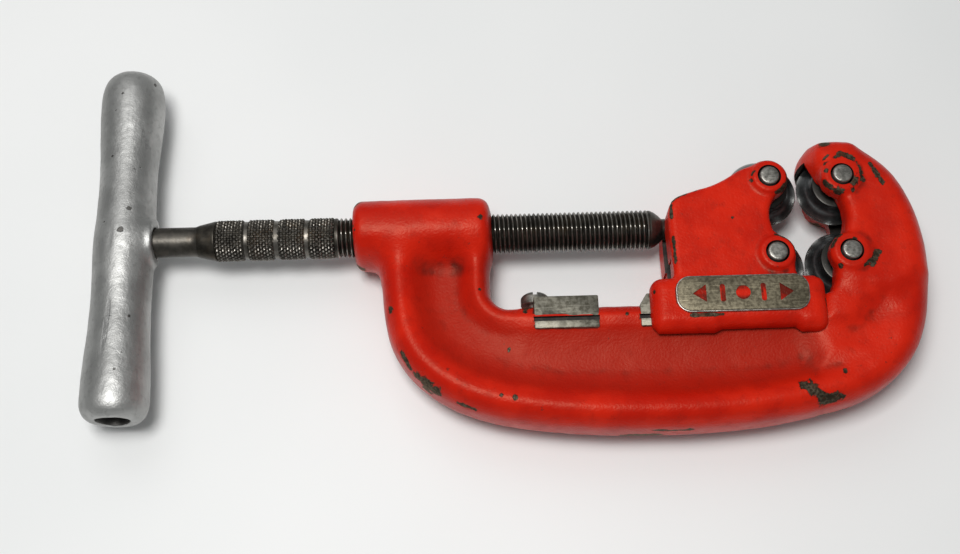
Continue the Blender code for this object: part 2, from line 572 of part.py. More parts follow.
GRIP_TOP, GRIP_BOTTOM, GRIP_STEPS = 74.0, -72.0, 10
grip = [GRIP_TOP + (GRIP_BOTTOM - GRIP_TOP) * k / GRIP_STEPS for k in range(GRIP_STEPS + 1)]
HANDLE_PROFILE = ([(HANDLE_TOP, 4.0), (HANDLE_TOP - 1.6, 9.4), (HANDLE_TOP - 5.0, 12.9), (HANDLE_TOP - 10.0, 14.6)]
                  + [(y, grip_radius(y)) for y in grip]
                  + [(HANDLE_BOTTOM + 6.0, 15.4), (HANDLE_BOTTOM + 2.4, 14.0), (HANDLE_BOTTOM + 0.4, 11.8)])
profile = [(0.0, HANDLE_TOP + 0.3)] + [(r, y) for y, r in HANDLE_PROFILE] + [(11.0, HANDLE_BOTTOM), (0.0, HANDLE_BOTTOM)]
handle = turned("handle", profile, 24, "Y", (HANDLE_X, 0, 0))
collar = turned("collar", [(0.0, COLLAR_X1), (COLLAR_R - 1.0, COLLAR_X1), (COLLAR_R, COLLAR_X1 - 1.0),
                           (COLLAR_R + 1.6, HANDLE_X + 11.0), (COLLAR_R + 1.6, HANDLE_X + 2.0),
                           (0.0, HANDLE_X + 2.0)], 24, "X")
join(handle, collar)
shank_bore = cylinder("shank_bore", ((SHANK_END_X - GAP + COLLAR_X1 + 5.0) / 2, 0, 0), SHANK_BORE_R,
                      COLLAR_X1 + 5.0 - SHANK_END_X + GAP, "X", 28)
grip_bore = cylinder("grip_bore", (HANDLE_X, (HANDLE_BORE_TOP + HANDLE_BOTTOM - 5.0) / 2, 0), HANDLE_BORE_R,
                     HANDLE_BORE_TOP - HANDLE_BOTTOM + 5.0, "Y", 32)
pin_bore = cylinder("drive_pin_bore", (HANDLE_X, (DRIVE_PIN_HALF + GAP + HANDLE_BORE_TOP - 4.0) / 2, 0),
                    DRIVE_PIN_R + GAP, DRIVE_PIN_HALF + GAP - HANDLE_BORE_TOP + 4.0, "Y", 20)
cut(handle, shank_bore, grip_bore, pin_bore)
finish(handle, "t_handle", alu_handle, (HANDLE_X, 0, 0))
drive_pin = cylinder("drive_pin", (HANDLE_X, 0, 0), DRIVE_PIN_R, 2 * DRIVE_PIN_HALF, "Y", 20)
finish(drive_pin, "handle_drive_pin", steel_pins, (HANDLE_X, 0, 0))

# ---------------------------------------------------------------- wheels, pins and clips
wheel_profile = [(PIN_R + GAP, WHEEL_HALF), (10.8, WHEEL_HALF), (11.5, WHEEL_HALF - 0.8), (11.7, 4.6),
                 (13.2, 3.3), (WHEEL_R, 0.12), (WHEEL_R, -0.12), (13.2, -3.3), (11.7, -4.6),
                 (11.5, -WHEEL_HALF + 0.8), (10.8, -WHEEL_HALF), (PIN_R + GAP, -WHEEL_HALF)]
pin_profile = [(0.0, PIN_HALF), (PIN_R - 0.5, PIN_HALF), (PIN_R, PIN_HALF - 0.5), (PIN_R, CLIP_Z1 + GAP),
               (CLIP_GROOVE_R, CLIP_Z1 + GAP), (CLIP_GROOVE_R, CLIP_Z0 - GAP), (PIN_R, CLIP_Z0 - GAP),
               (PIN_R, -PIN_HALF + 0.5), (PIN_R - 0.5, -PIN_HALF), (0.0, -PIN_HALF)]
clip_outline = arc(0, 0, CLIP_R, -40, 220, 12) + arc(0, 0, CLIP_BORE_R, 220, -40, 12)
for side, x in (("hook", HOOK_X), ("slide", SLIDE_X)):
    for level, y in zip(("upper", "lower"), PAIR_Y):
        spot = (x, y, 0)
        wheel = turned("wheel", wheel_profile, 36, "Z", spot)
        finish(wheel, f"{side}_{level}_cutter_wheel", steel_wheels, spot)
        pin = turned("pin", pin_profile, 20, "Z", spot)
        finish(pin, f"{side}_{level}_wheel_pin", steel_pins, spot)
        clip = prism("clip", clip_outline, CLIP_Z0, CLIP_Z1)
        clip.data.transform(Matrix.Translation(Vector(spot) * MM))
        finish(clip, f"{side}_{level}_pin_clip", steel_clips, (x, y, CLIP_Z0))
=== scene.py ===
# Looks of the pipe cutter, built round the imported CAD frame.
#
# Shapes are drawn in the CAD's working frame (mm): X along the feed screw
# towards the hook, Y across the tool towards the mouth, Z the thickness, with
# the screw's axis at Y = Z = 0.  make() moves them into the row frame (m).
import math

import bmesh
import bpy
import numpy as np
from mathutils import Matrix, Vector, noise


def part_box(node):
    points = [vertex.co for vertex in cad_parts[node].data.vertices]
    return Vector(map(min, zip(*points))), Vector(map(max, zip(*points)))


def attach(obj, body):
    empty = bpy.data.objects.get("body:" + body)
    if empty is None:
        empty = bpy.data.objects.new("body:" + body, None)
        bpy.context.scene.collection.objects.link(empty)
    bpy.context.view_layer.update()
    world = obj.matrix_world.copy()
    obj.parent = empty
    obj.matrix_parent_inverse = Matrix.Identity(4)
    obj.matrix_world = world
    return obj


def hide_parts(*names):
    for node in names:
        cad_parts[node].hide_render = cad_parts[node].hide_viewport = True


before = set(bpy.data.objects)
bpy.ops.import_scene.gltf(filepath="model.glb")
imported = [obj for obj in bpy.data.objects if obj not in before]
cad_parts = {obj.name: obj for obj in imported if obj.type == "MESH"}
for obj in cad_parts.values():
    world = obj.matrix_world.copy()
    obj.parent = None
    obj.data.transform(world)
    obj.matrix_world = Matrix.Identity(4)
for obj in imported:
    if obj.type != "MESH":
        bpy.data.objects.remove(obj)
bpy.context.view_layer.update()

MM = 0.001
HOOK_X, SLIDE_X, PAIR_Y = 165.6, 131.6, (16.7, -21.0)
low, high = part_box("hook_upper_wheel_pin")
OFFSET = (low + high) / 2 - Vector((HOOK_X, PAIR_Y[0], 0.0)) * MM
TO_ROW = Matrix.Translation(OFFSET) @ Matrix.Scale(MM, 4)

# ---------------------------------------------------------------- dimensions, as in the CAD
GAP = 0.3
THREAD_R, PITCH, NECK_R, BUTTON_R, SHANK_R, KNURL_R = 9.5, 25.4 / 12, 5.1, 8.0, 7.0, 9.8
KNURL_BANDS = ((-127.8, -114.3), (-112.5, -100.2), (-98.0, -85.7), (-83.9, -71.6))
PIN_R, PIN_HALF, PIN_HOLE_R = 4.5, 23.3, 5.1
SLOT_HALF, POCKET_R, WHEEL_R, WHEEL_HALF = 10.4, 17.8, 16.7, 8.9
RAIL_HALF, RAIL_TOP, RAIL_BOTTOM = 14.0, -36.6, -52.0
GROOVE_Y0, GROOVE_Y1, GROOVE_HALF = -46.4, -48.6, 12.0
PAD_X0, PAD_X1, RAIL_X0, RAIL_X1 = 20.0, 49.5, 68.4, 154.5
STOP_X, STOP_HEAD_R, STOP_TOP, STOP_SEAT, STOP_SHANK_R = 21.3, 6.65, -30.3, -37.3, 3.4
HANDLE_X, HANDLE_TOP, HANDLE_BOTTOM = -171.4, 88.6, -86.2


# ---------------------------------------------------------------- curves
def smooth_path(points, step=2.0):
    pts = [Vector(p) for p in points]
    pts = [2 * pts[0] - pts[1]] + pts + [2 * pts[-1] - pts[-2]]
    out = []
    for p0, p1, p2, p3 in zip(pts, pts[1:], pts[2:], pts[3:]):
        t0 = 0.0
        t1 = t0 + math.sqrt((p1 - p0).length)
        t2 = t1 + math.sqrt((p2 - p1).length)
        t3 = t2 + math.sqrt((p3 - p2).length)
        count = max(1, round((p2 - p1).length / step))
        for k in range(count):
            t = t1 + (t2 - t1) * k / count
            a1 = p0 * ((t1 - t) / (t1 - t0)) + p1 * ((t - t0) / (t1 - t0))
            a2 = p1 * ((t2 - t) / (t2 - t1)) + p2 * ((t - t1) / (t2 - t1))
            a3 = p2 * ((t3 - t) / (t3 - t2)) + p3 * ((t - t2) / (t3 - t2))
            b1 = a1 * ((t2 - t) / (t2 - t0)) + a2 * ((t - t0) / (t2 - t0))
            b2 = a2 * ((t3 - t) / (t3 - t1)) + a3 * ((t - t1) / (t3 - t1))
            out.append(b1 * ((t2 - t) / (t2 - t1)) + b2 * ((t - t1) / (t2 - t1)))
    out.append(pts[-2])
    return [(p.x, p.y) for p in out]


def offset_path(path, distance):
    out = []
    for i, p in enumerate(path):
        a = Vector(path[max(i - 1, 0)])
        b = Vector(path[min(i + 1, len(path) - 1)])
        t = (b - a).normalized()
        out.append((p[0] + t.y * distance, p[1] - t.x * distance))
    return out


def arc(cx, cy, r, start, stop, count=24):
    return [(cx + r * math.cos(math.radians(start + (stop - start) * k / count)),
             cy + r * math.sin(math.radians(start + (stop - start) * k / count))) for k in range(count + 1)]


def rounded_box(x0, x1, y0, y1, r, count=10):
    return (arc(x1 - r, y1 - r, r, 0, 90, count) + arc(x0 + r, y1 - r, r, 90, 180, count)
            + arc(x0 + r, y0 + r, r, 180, 270, count) + arc(x1 - r, y0 + r, r, 270, 360, count))


# ---------------------------------------------------------------- distance fields (mm, negative inside)
def to_polygon(X, Y, points):
    d = np.full(X.shape, 1e9)
    inside = np.zeros(X.shape, bool)
    pts = [tuple(p) for p in points]
    for (ax, ay), (bx, by) in zip(pts, pts[1:] + pts[:1]):
        ex, ey = bx - ax, by - ay
        if ex * ex + ey * ey < 1e-9:
            continue
        wx, wy = X - ax, Y - ay
        t = np.clip((wx * ex + wy * ey) / (ex * ex + ey * ey), 0, 1)
        d = np.minimum(d, (wx - ex * t) ** 2 + (wy - ey * t) ** 2)
        if abs(ey) > 1e-12:
            inside ^= ((ay <= Y) != (by <= Y)) & (X < ax + (Y - ay) / ey * ex)
    return np.where(inside, -1.0, 1.0) * np.sqrt(d)


def to_path(X, Y, points):
    d = np.full(X.shape, 1e9)
    for (ax, ay), (bx, by) in zip(points, points[1:]):
        ex, ey = bx - ax, by - ay
        wx, wy = X - ax, Y - ay
        t = np.clip((wx * ex + wy * ey) / (ex * ex + ey * ey + 1e-12), 0, 1)
        d = np.minimum(d, (wx - ex * t) ** 2 + (wy - ey * t) ** 2)
    return np.sqrt(d)


def slab(d2, Z, half, r):
    """An outline's distance d2 extruded to a half thickness, with its edges rounded to r."""
    u = np.asarray(d2)[..., None] + r if np.ndim(d2) == 2 else d2 + r
    w = Z - half + r
    return np.minimum(np.maximum(u, w), 0.0) + np.hypot(np.maximum(u, 0.0), np.maximum(w, 0.0)) - r


def oval(u, Z, a, b):
    if np.ndim(u) == 2:
        u = u[..., None]
    k0 = np.sqrt((u / a) ** 2 + (Z / b) ** 2)
    k1 = np.sqrt((u / (a * a)) ** 2 + (Z / (b * b)) ** 2) + 1e-9
    return k0 * (k0 - 1.0) / k1


def blend(a, b, k):
    h = np.clip(0.5 + 0.5 * (b - a) / k, 0.0, 1.0)
    return b * (1 - h) + a * h - k * h * (1 - h)


def skin(name, field, origin, step):
    """The zero surface of a field on a regular grid, as a mesh of quads (surface nets)."""
    inside = field < 0
    shape = tuple(n - 1 for n in field.shape)
    count = np.zeros(shape, np.int16)
    total = [np.zeros(shape, np.float32) for _ in range(3)]
    for axis in range(3):
        others = [a for a in range(3) if a != axis]
        for da in (0, 1):
            for db in (0, 1):
                first = [slice(0, shape[0]), slice(0, shape[1]), slice(0, shape[2])]
                first[others[0]] = slice(da, da + shape[others[0]])
                first[others[1]] = slice(db, db + shape[others[1]])
                second = list(first)
                second[axis] = slice(1, 1 + shape[axis])
                f0, f1 = field[tuple(first)], field[tuple(second)]
                cross = inside[tuple(first)] != inside[tuple(second)]
                t = np.where(cross, f0 / np.where(cross, f0 - f1, 1.0), 0.0)
                count += cross
                total[axis] += t
                total[others[0]] += cross * da
                total[others[1]] += cross * db
    active = count > 0
    index = np.full(shape, -1, np.int64)
    index[active] = np.arange(int(active.sum()))
    cells = np.argwhere(active)
    n = count[active].astype(float)
    verts = np.stack([(cells[:, a] + total[a][active] / n) * step + origin[a] for a in range(3)], 1)
    quads = []
    for axis in range(3):
        b, c = (axis + 1) % 3, (axis + 2) % 3
        first = [slice(None)] * 3
        second = [slice(None)] * 3
        first[axis] = slice(0, -1)
        second[axis] = slice(1, None)
        i0 = inside[tuple(first)]
        cross = np.argwhere(i0 != inside[tuple(second)])
        keep = (cross[:, b] > 0) & (cross[:, c] > 0) & (cross[:, b] < field.shape[b] - 1) & (cross[:, c] < field.shape[c] - 1)
        cross = cross[keep]
        outward = i0[tuple(cross.T)]
        ring = []
        for db, dc in ((-1, -1), (0, -1), (0, 0), (-1, 0)):
            at = cross.copy()
            at[:, b] += db
            at[:, c] += dc
            ring.append(index[tuple(at.T)])
        quad = np.stack(ring, 1)
        quad[~outward] = quad[~outward][:, ::-1]
        quads.append(quad)
    quads = np.concatenate(quads)
    return mesh_of(name, verts, quads)


def mesh_of(name, verts, quads):
    mesh = bpy.data.meshes.new(name)
    mesh.from_pydata([tuple(v) for v in verts], [], [tuple(q) for q in quads])
    mesh.update()
    ob = bpy.data.objects.new(name, mesh)
    bpy.context.scene.collection.objects.link(ob)
    return ob


def grid(x0, x1, y0, y1, z0, z1, step):
    xs, ys, zs = (np.arange(a, b + step, step) for a, b in ((x0, x1), (y0, y1), (z0, z1)))
    X, Y = np.meshgrid(xs, ys, indexing="ij")
    return X, Y, np.abs(zs)[None, None, :], zs[None, None, :], (x0, y0, z0)


# ---------------------------------------------------------------- mesh helpers (mm)
def evaluated(ob):
    bpy.context.view_layer.update()
    graph = bpy.context.evaluated_depsgraph_get()
    mesh = bpy.data.meshes.new_from_object(ob.evaluated_get(graph))
    ob.modifiers.clear()
    ob.data = mesh
    return ob


def prism(name, outline, lower, upper, axis="Z", mat=None):
    bm = bmesh.new()
    verts = [bm.verts.new((u, v, lower)) for u, v in outline]
    face = bm.faces.new(verts)
    side = bmesh.ops.extrude_face_region(bm, geom=[face])
    bmesh.ops.translate(bm, verts=[v for v in side["geom"] if isinstance(v, bmesh.types.BMVert)],
                        vec=(0, 0, upper - lower))
    bmesh.ops.recalc_face_normals(bm, faces=bm.faces)
    mesh = bpy.data.meshes.new(name)
    bm.to_mesh(mesh)
    bm.free()
    if axis == "X":            # outline is drawn in (Y, Z)
        mesh.transform(Matrix(((0, 0, 1, 0), (1, 0, 0, 0), (0, 1, 0, 0), (0, 0, 0, 1))))
    elif axis == "Y":          # outline is drawn in (Z, X)
        mesh.transform(Matrix(((0, 1, 0, 0), (0, 0, 1, 0), (1, 0, 0, 0), (0, 0, 0, 1))))
    ob = bpy.data.objects.new(name, mesh)
    bpy.context.scene.collection.objects.link(ob)
    if mat:
        mesh.materials.append(mat)
    return ob


def block(name, x0, x1, y0, y1, z0, z1, mat=None):
    return prism(name, [(x0, y0), (x1, y0), (x1, y1), (x0, y1)], z0, z1, mat=mat)


def rod(name, centre, radius, length, axis="Z", segments=64, mat=None):
    cx, cy, cz = centre
    ring = arc(0, 0, radius, 0, 360, segments)[:-1]
    ob = prism(name, ring, -length / 2, length / 2, axis, mat)
    ob.data.transform(Matrix.Translation(centre))
    return ob


def soften(ob, width, segments=3, angle=40):
    bevel = ob.modifiers.new("soften", "BEVEL")
    bevel.width = width
    bevel.segments = segments
    bevel.limit_method = "ANGLE"
    bevel.angle_limit = math.radians(angle)
    return evaluated(ob)


def merge(ob, other, operation):
    mod = ob.modifiers.new("merge", "BOOLEAN")
    mod.operation = operation
    mod.solver = "EXACT"
    mod.material_mode = "TRANSFER"
    mod.object = other
    evaluated(ob)
    bpy.data.objects.remove(other, do_unlink=True)
    return ob


def all_of(obs):
    first = obs[0]
    for ob in obs[1:]:
        merge(first, ob, "UNION")
    return first


def turned(name, profile, segments, axis="Z", centre=(0, 0, 0), wobble=None):
    """A profile of (radius, height), from the top down, turned about the axis and capped on it."""
    verts, quads = [], []
    rings = []
    for r, h in profile:
        if r < 1e-6:
            rings.append([len(verts)])
            verts.append((0.0, 0.0, h))
        else:
            rings.append(list(range(len(verts), len(verts) + segments)))
            for k in range(segments):
                t = 2 * math.pi * k / segments
                rr = r + (wobble(r, h, t) if wobble else 0.0)
                verts.append((rr * math.cos(t), rr * math.sin(t), h))
    pairs = list(zip(rings, rings[1:]))
    if len(rings[0]) > 1 and len(rings[-1]) > 1:
        pairs.append((rings[-1], rings[0]))
    for a, b in pairs:
        for k in range(segments):
            j = (k + 1) % segments
            if len(a) == 1:
                quads.append((a[0], b[k], b[j]))
            elif len(b) == 1:
                quads.append((a[k], b[0], a[j]))
            else:
                quads.append((a[k], b[k], b[j], a[j]))
    ob = mesh_of(name, verts, quads)
    turn = {"X": Matrix.Rotation(math.pi / 2, 4, "Y"), "Y": Matrix.Rotation(-math.pi / 2, 4, "X"),
            "Z": Matrix.Identity(4)}[axis]
    ob.data.transform(Matrix.Translation(Vector(centre)) @ turn)
    bm = bmesh.new()
    bm.from_mesh(ob.data)
    bmesh.ops.recalc_face_normals(bm, faces=bm.faces)
    bm.to_mesh(ob.data)
    bm.free()
    return ob


def coordinates(mesh):
    co = np.zeros(len(mesh.vertices) * 3, np.float32)
    mesh.vertices.foreach_get("co", co)
    return co.reshape(-1, 3)


def normals(mesh):
    no = np.zeros(len(mesh.vertices) * 3, np.float32)
    mesh.vertices.foreach_get("normal", no)
    return no.reshape(-1, 3)


def roughen(ob, layers, seed=0.0):
    """Moves the skin in and out by layers of (wavelength, height) noise, in mm."""
    co, no = coordinates(ob.data), normals(ob.data)
    move = np.zeros(len(co))
    for wave, height in layers:
        move += height * np.array([noise.noise(Vector((c[0] / wave + seed, c[1] / wave, c[2] / wave))) for c in co.tolist()])
    ob.data.vertices.foreach_set("co", (co + no * move[:, None]).astype(np.float32).ravel())
    ob.data.update()
    return ob


def relax(ob, rounds, factor=0.5):
    co = coordinates(ob.data).astype(float)
    edges = np.zeros(len(ob.data.edges) * 2, np.int32)
    ob.data.edges.foreach_get("vertices", edges)
    a, b = edges.reshape(-1, 2).T
    degree = np.bincount(a, minlength=len(co)) + np.bincount(b, minlength=len(co))
    for turn in range(rounds):
        for f in (factor, -factor * 1.04):
            mean = np.stack([np.bincount(a, co[b, k], len(co)) + np.bincount(b, co[a, k], len(co)) for k in range(3)], 1)
            co += f * (mean / np.maximum(degree, 1)[:, None] - co)
    ob.data.vertices.foreach_set("co", co.astype(np.float32).ravel())
    ob.data.update()
    return ob


def hollows(mesh, rounds=5):
    """How far each vertex lies below (+) or above (-) the mean of its neighbours, smoothed."""
    co = coordinates(mesh).astype(float)
    no = normals(mesh)
    edges = np.zeros(len(mesh.edges) * 2, np.int32)
    mesh.edges.foreach_get("vertices", edges)
    a, b = edges.reshape(-1, 2).T
    degree = np.maximum(np.bincount(a, minlength=len(co)) + np.bincount(b, minlength=len(co)), 1)
    mean = co.copy()
    for _ in range(rounds):
        mean = np.stack([np.bincount(a, mean[b, k], len(co)) + np.bincount(b, mean[a, k], len(co)) for k in range(3)], 1) / degree[:, None]
    return ((mean - co) * no).sum(1)


def attribute(mesh, name, values):
    layer = mesh.attributes.new(name, "FLOAT", "POINT")
    layer.data.foreach_set("value", np.asarray(values, np.float32))


def make(ob, name, body, node, mats=(), sharp=34):
    """Moves a finished piece into the row frame and lets it ride on its body in place of its CAD node."""
    ob.name = name
    ob.data.name = name
    if mats:
        ob.data.materials.clear()
        for m in mats:
            ob.data.materials.append(m)
    ob.data.transform(TO_ROW)
    ob.data.shade_smooth()
    ob.data.set_sharp_from_angle(angle=math.radians(sharp))
    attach(ob, body)
    if node:
        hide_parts(node)
    return ob


# ---------------------------------------------------------------- materials
class Nodes:
    def __init__(self, name):
        self.mat = bpy.data.materials.new(name)
        self.mat.use_nodes = True
        self.tree = self.mat.node_tree
        self.shader = self.tree.nodes["Principled BSDF"]
        self.where = self.new("ShaderNodeTexCoord").outputs["Object"]

    def new(self, kind, **values):
        node = self.tree.nodes.new(kind)
        for key, value in values.items():
            setattr(node, key, value)
        return node

    def link(self, a, b):
        if isinstance(a, (int, float)):
            b.default_value = a
        elif isinstance(a, tuple):
            b.default_value = (*a, 1.0) if len(a) == 3 else a
        else:
            self.tree.links.new(a, b)

    def noise(self, scale, detail=3.0, rough=0.55, stretch=None, distortion=0.0):
        node = self.new("ShaderNodeTexNoise")
        node.inputs["Scale"].default_value = scale
        node.inputs["Detail"].default_value = detail
        node.inputs["Roughness"].default_value = rough
        node.inputs["Distortion"].default_value = distortion
        where = self.where
        if stretch:
            mapping = self.new("ShaderNodeMapping")
            mapping.inputs["Scale"].default_value = stretch
            self.link(where, mapping.inputs["Vector"])
            where = mapping.outputs["Vector"]
        self.link(where, node.inputs["Vector"])
        return node.outputs["Fac"]

    def cells(self, scale, feature="F1"):
        node = self.new("ShaderNodeTexVoronoi", feature=feature)
        node.inputs["Scale"].default_value = scale
        self.link(self.where, node.inputs["Vector"])
        return node.outputs["Distance"]

    def attribute(self, name):
        return self.new("ShaderNodeAttribute", attribute_name=name).outputs["Fac"]

    def math(self, operation, a, b=0.0, clamp=False):
        node = self.new("ShaderNodeMath", operation=operation, use_clamp=clamp)
        self.link(a, node.inputs[0])
        self.link(b, node.inputs[1])
        return node.outputs[0]

    def ramp(self, value, start, stop):
        node = self.new("ShaderNodeMapRange", interpolation_type="SMOOTHSTEP")
        self.link(value, node.inputs["Value"])
        node.inputs["From Min"].default_value = start
        node.inputs["From Max"].default_value = stop
        return node.outputs["Result"]

    def mix(self, factor, a, b):
        node = self.new("ShaderNodeMix", data_type="RGBA")
        self.link(factor, node.inputs[0])
        self.link(a, node.inputs[6])
        self.link(b, node.inputs[7])
        return node.outputs[2]

    def value_mix(self, factor, a, b):
        node = self.new("ShaderNodeMix", data_type="FLOAT")
        self.link(factor, node.inputs[0])
        self.link(a, node.inputs[2])
        self.link(b, node.inputs[3])
        return node.outputs[0]

    def bump(self, height, distance, strength=1.0, normal=None):
        node = self.new("ShaderNodeBump")
        node.inputs["Strength"].default_value = strength
        node.inputs["Distance"].default_value = distance
        self.link(height, node.inputs["Height"])
        if normal is not None:
            self.link(normal, node.inputs["Normal"])
        return node.outputs["Normal"]

    def done(self, colour, roughness, metallic, normal=None, **fixed):
        self.link(colour, self.shader.inputs["Base Color"])
        self.link(roughness, self.shader.inputs["Roughness"])
        self.link(metallic, self.shader.inputs["Metallic"])
        if normal is not None:
            self.link(normal, self.shader.inputs["Normal"])
        for key, value in fixed.items():
            self.shader.inputs[key.replace("_", " ")].default_value = value
        return self.mat


def red_paint(name, tone=1.0):
    n = Nodes(name)
    broad = n.noise(45, 3, 0.55)
    patch = n.noise(160, 4, 0.6)
    peel = n.noise(900, 2, 0.5)
    fine = n.noise(2600, 2, 0.5)
    colour = n.mix(n.ramp(broad, 0.35, 0.68), (0.47 * tone, 0.0080, 0.0022), (0.60 * tone, 0.0150, 0.0040))
    colour = n.mix(n.math("MULTIPLY", n.ramp(patch, 0.52, 0.74), 0.45), colour, (0.34, 0.0075, 0.0028))
    # the recessed web is painted darker than the ribs: partly grime, partly painted shade in the recess
    recess_grime_and_shade = n.math("MULTIPLY", n.attribute("recess"), n.math("ADD", 0.42, n.math("MULTIPLY", broad, 0.45)))
    colour = n.mix(recess_grime_and_shade, colour, (0.300, 0.0080, 0.0028))
    # grime gathers in the hollows, and the same darkening is painted shade in creases and under edges
    grime_and_shade = n.math("MULTIPLY", n.ramp(n.attribute("hollow"), 0.09, 0.50), n.ramp(patch, 0.25, 0.55))
    colour = n.mix(n.math("MULTIPLY", grime_and_shade, 0.88), colour, (0.060, 0.006, 0.004))
    # pin-prick pits and specks
    speck = n.math("MULTIPLY", n.ramp(n.noise(430, 3, 0.65), 0.665, 0.735), n.ramp(n.noise(38, 2), 0.40, 0.62))
    colour = n.mix(n.math("MULTIPLY", speck, 0.8), colour, (0.10, 0.018, 0.014))
    grit = n.math("MULTIPLY", n.ramp(n.noise(1500, 2, 0.6), 0.60, 0.74), n.ramp(patch, 0.42, 0.60))
    colour = n.mix(n.math("MULTIPLY", grit, 0.45), colour, (0.13, 0.008, 0.004))
    # chips down to the iron
    ragged = n.math("ADD", n.math("MULTIPLY", n.math("SUBTRACT", n.noise(260, 5, 0.68, distortion=0.4), 0.5), 1.9),
                    n.attribute("chip"))
    chip = n.ramp(ragged, 0.50, 0.56)
    rim = n.math("SUBTRACT", n.ramp(ragged, 0.40, 0.50), chip)
    iron = n.mix(n.ramp(n.noise(700, 4, 0.6), 0.4, 0.65), (0.026, 0.020, 0.013), (0.085, 0.070, 0.048))
    iron = n.mix(n.math("MULTIPLY", n.ramp(n.noise(210, 3), 0.54, 0.70), 0.6), iron, (0.10, 0.028, 0.012))
    colour = n.mix(n.math("MULTIPLY", rim, 0.55), colour, (0.20, 0.010, 0.006))
    colour = n.mix(chip, colour, iron)
    roughness = n.math("ADD", n.math("ADD", 0.25, n.math("MULTIPLY", patch, 0.24)), n.math("MULTIPLY", n.attribute("recess"), 0.10))
    roughness = n.value_mix(chip, roughness, 0.50)
    metallic = n.math("MULTIPLY", chip, 0.45)
    height = n.math("ADD", n.math("MULTIPLY", peel, 1.0), n.math("MULTIPLY", fine, 0.22))
    normal = n.bump(height, 0.00017)
    normal = n.bump(n.math("SUBTRACT", 1.0, chip), 0.00022, 1.0, normal)
    n.shader.inputs["Specular Tint"].default_value = (1.0, 0.74, 0.52, 1.0)
    return n.done(colour, roughness, metallic, normal, IOR=1.45, Specular_IOR_Level=0.27, Coat_Weight=0.0)


def bare_metal(name, light, dark, rough=0.42, metal=0.85, mottle=330):
    n = Nodes(name)
    patch = n.noise(mottle, 4, 0.62)
    colour = n.mix(n.ramp(patch, 0.36, 0.64), dark, light)
    stain = n.ramp(n.noise(95, 4, 0.6), 0.52, 0.70)
    colour = n.mix(n.math("MULTIPLY", stain, 0.55), colour, tuple(c * 0.42 for c in dark))
    scratch = n.ramp(n.noise(90, 2, 0.5, (1.0, 14.0, 14.0)), 0.58, 0.66)
    colour = n.mix(n.math("MULTIPLY", scratch, 0.28), colour, tuple(min(1.0, c * 1.5) for c in light))
    roughness = n.math("ADD", rough, n.math("MULTIPLY", n.math("SUBTRACT", patch, 0.5), 0.35))
    normal = n.bump(n.math("ADD", patch, n.math("MULTIPLY", scratch, -0.4)), 0.00006)
    return n.done(colour, roughness, metal, normal)


# near-black for the faces inside bores, slots and grooves: painted shade where the light does not reach
def cavity_shade_iron(name):
    n = Nodes(name)
    patch = n.noise(260, 4, 0.6)
    colour = n.mix(n.ramp(patch, 0.4, 0.65), (0.016, 0.013, 0.011), (0.050, 0.040, 0.033))
    return n.done(colour, n.math("ADD", 0.55, n.math("MULTIPLY", patch, 0.2)), 0.35, n.bump(patch, 0.00012))


def screw_steel(name):
    n = Nodes(name)
    crest = n.attribute("crest")
    patch = n.noise(220, 4, 0.62)
    colour = n.mix(n.ramp(patch, 0.35, 0.66), (0.030, 0.027, 0.023), (0.070, 0.063, 0.052))
    colour = n.mix(n.math("MULTIPLY", n.ramp(n.noise(75, 3), 0.52, 0.70), 0.5), colour, (0.085, 0.060, 0.036))
    worn = n.math("MULTIPLY", n.ramp(crest, 0.50, 0.95), n.ramp(n.noise(130, 3), 0.25, 0.55))
    colour = n.mix(n.math("MULTIPLY", worn, 0.80), colour, (0.34, 0.32, 0.29))
    roughness = n.value_mix(worn, n.math("ADD", 0.34, n.math("MULTIPLY", patch, 0.18)), 0.27)
    return n.done(colour, roughness, 0.9, n.bump(n.noise(900, 3, 0.6), 0.00005))


def cast_aluminium(name):
    n = Nodes(name)
    broad = n.noise(60, 3, 0.5)
    grain = n.noise(1300, 3, 0.6)
    coarse = n.noise(420, 3, 0.6)
    colour = n.mix(n.ramp(broad, 0.34, 0.68), (0.34, 0.34, 0.333), (0.46, 0.46, 0.45))
    colour = n.mix(n.math("MULTIPLY", n.ramp(coarse, 0.52, 0.72), 0.40), colour, (0.235, 0.235, 0.225))
    # thin handling scratches in two directions
    one = n.ramp(n.noise(70, 2, 0.5, (1.0, 0.10, 1.0)), 0.650, 0.675)
    two = n.ramp(n.noise(150, 2, 0.5, (1.0, 0.16, 0.5), 0.4), 0.675, 0.70)
    scratch = n.math("MULTIPLY", n.math("MAXIMUM", one, two), n.ramp(coarse, 0.35, 0.6))
    colour = n.mix(n.math("MULTIPLY", scratch, 0.45), colour, (0.22, 0.22, 0.22))
    # small dark nicks, and through the chip attribute painted shade inside the cored hollow
    nicks_and_hollow_shade = n.math("MULTIPLY", n.ramp(n.noise(240, 3, 0.62), 0.70, 0.735), n.ramp(n.noise(42, 2), 0.46, 0.60))
    ragged = n.math("ADD", n.attribute("chip"), n.math("MULTIPLY", n.math("SUBTRACT", n.noise(700, 3), 0.5), 0.8))
    nicks_and_hollow_shade = n.math("MAXIMUM", nicks_and_hollow_shade, n.ramp(ragged, 0.50, 0.58))
    colour = n.mix(n.math("MULTIPLY", nicks_and_hollow_shade, 0.85), colour, (0.065, 0.06, 0.055))
    roughness = n.math("ADD", 0.40, n.math("MULTIPLY", coarse, 0.16))
    normal = n.bump(n.math("ADD", grain, n.math("MULTIPLY", coarse, 1.1)), 0.00011)
    normal = n.bump(n.math("SUBTRACT", 1.0, n.math("MAXIMUM", nicks_and_hollow_shade, n.math("MULTIPLY", scratch, 0.35))), 0.00025, 1.0, normal)
    return n.done(colour, roughness, 0.92, normal)


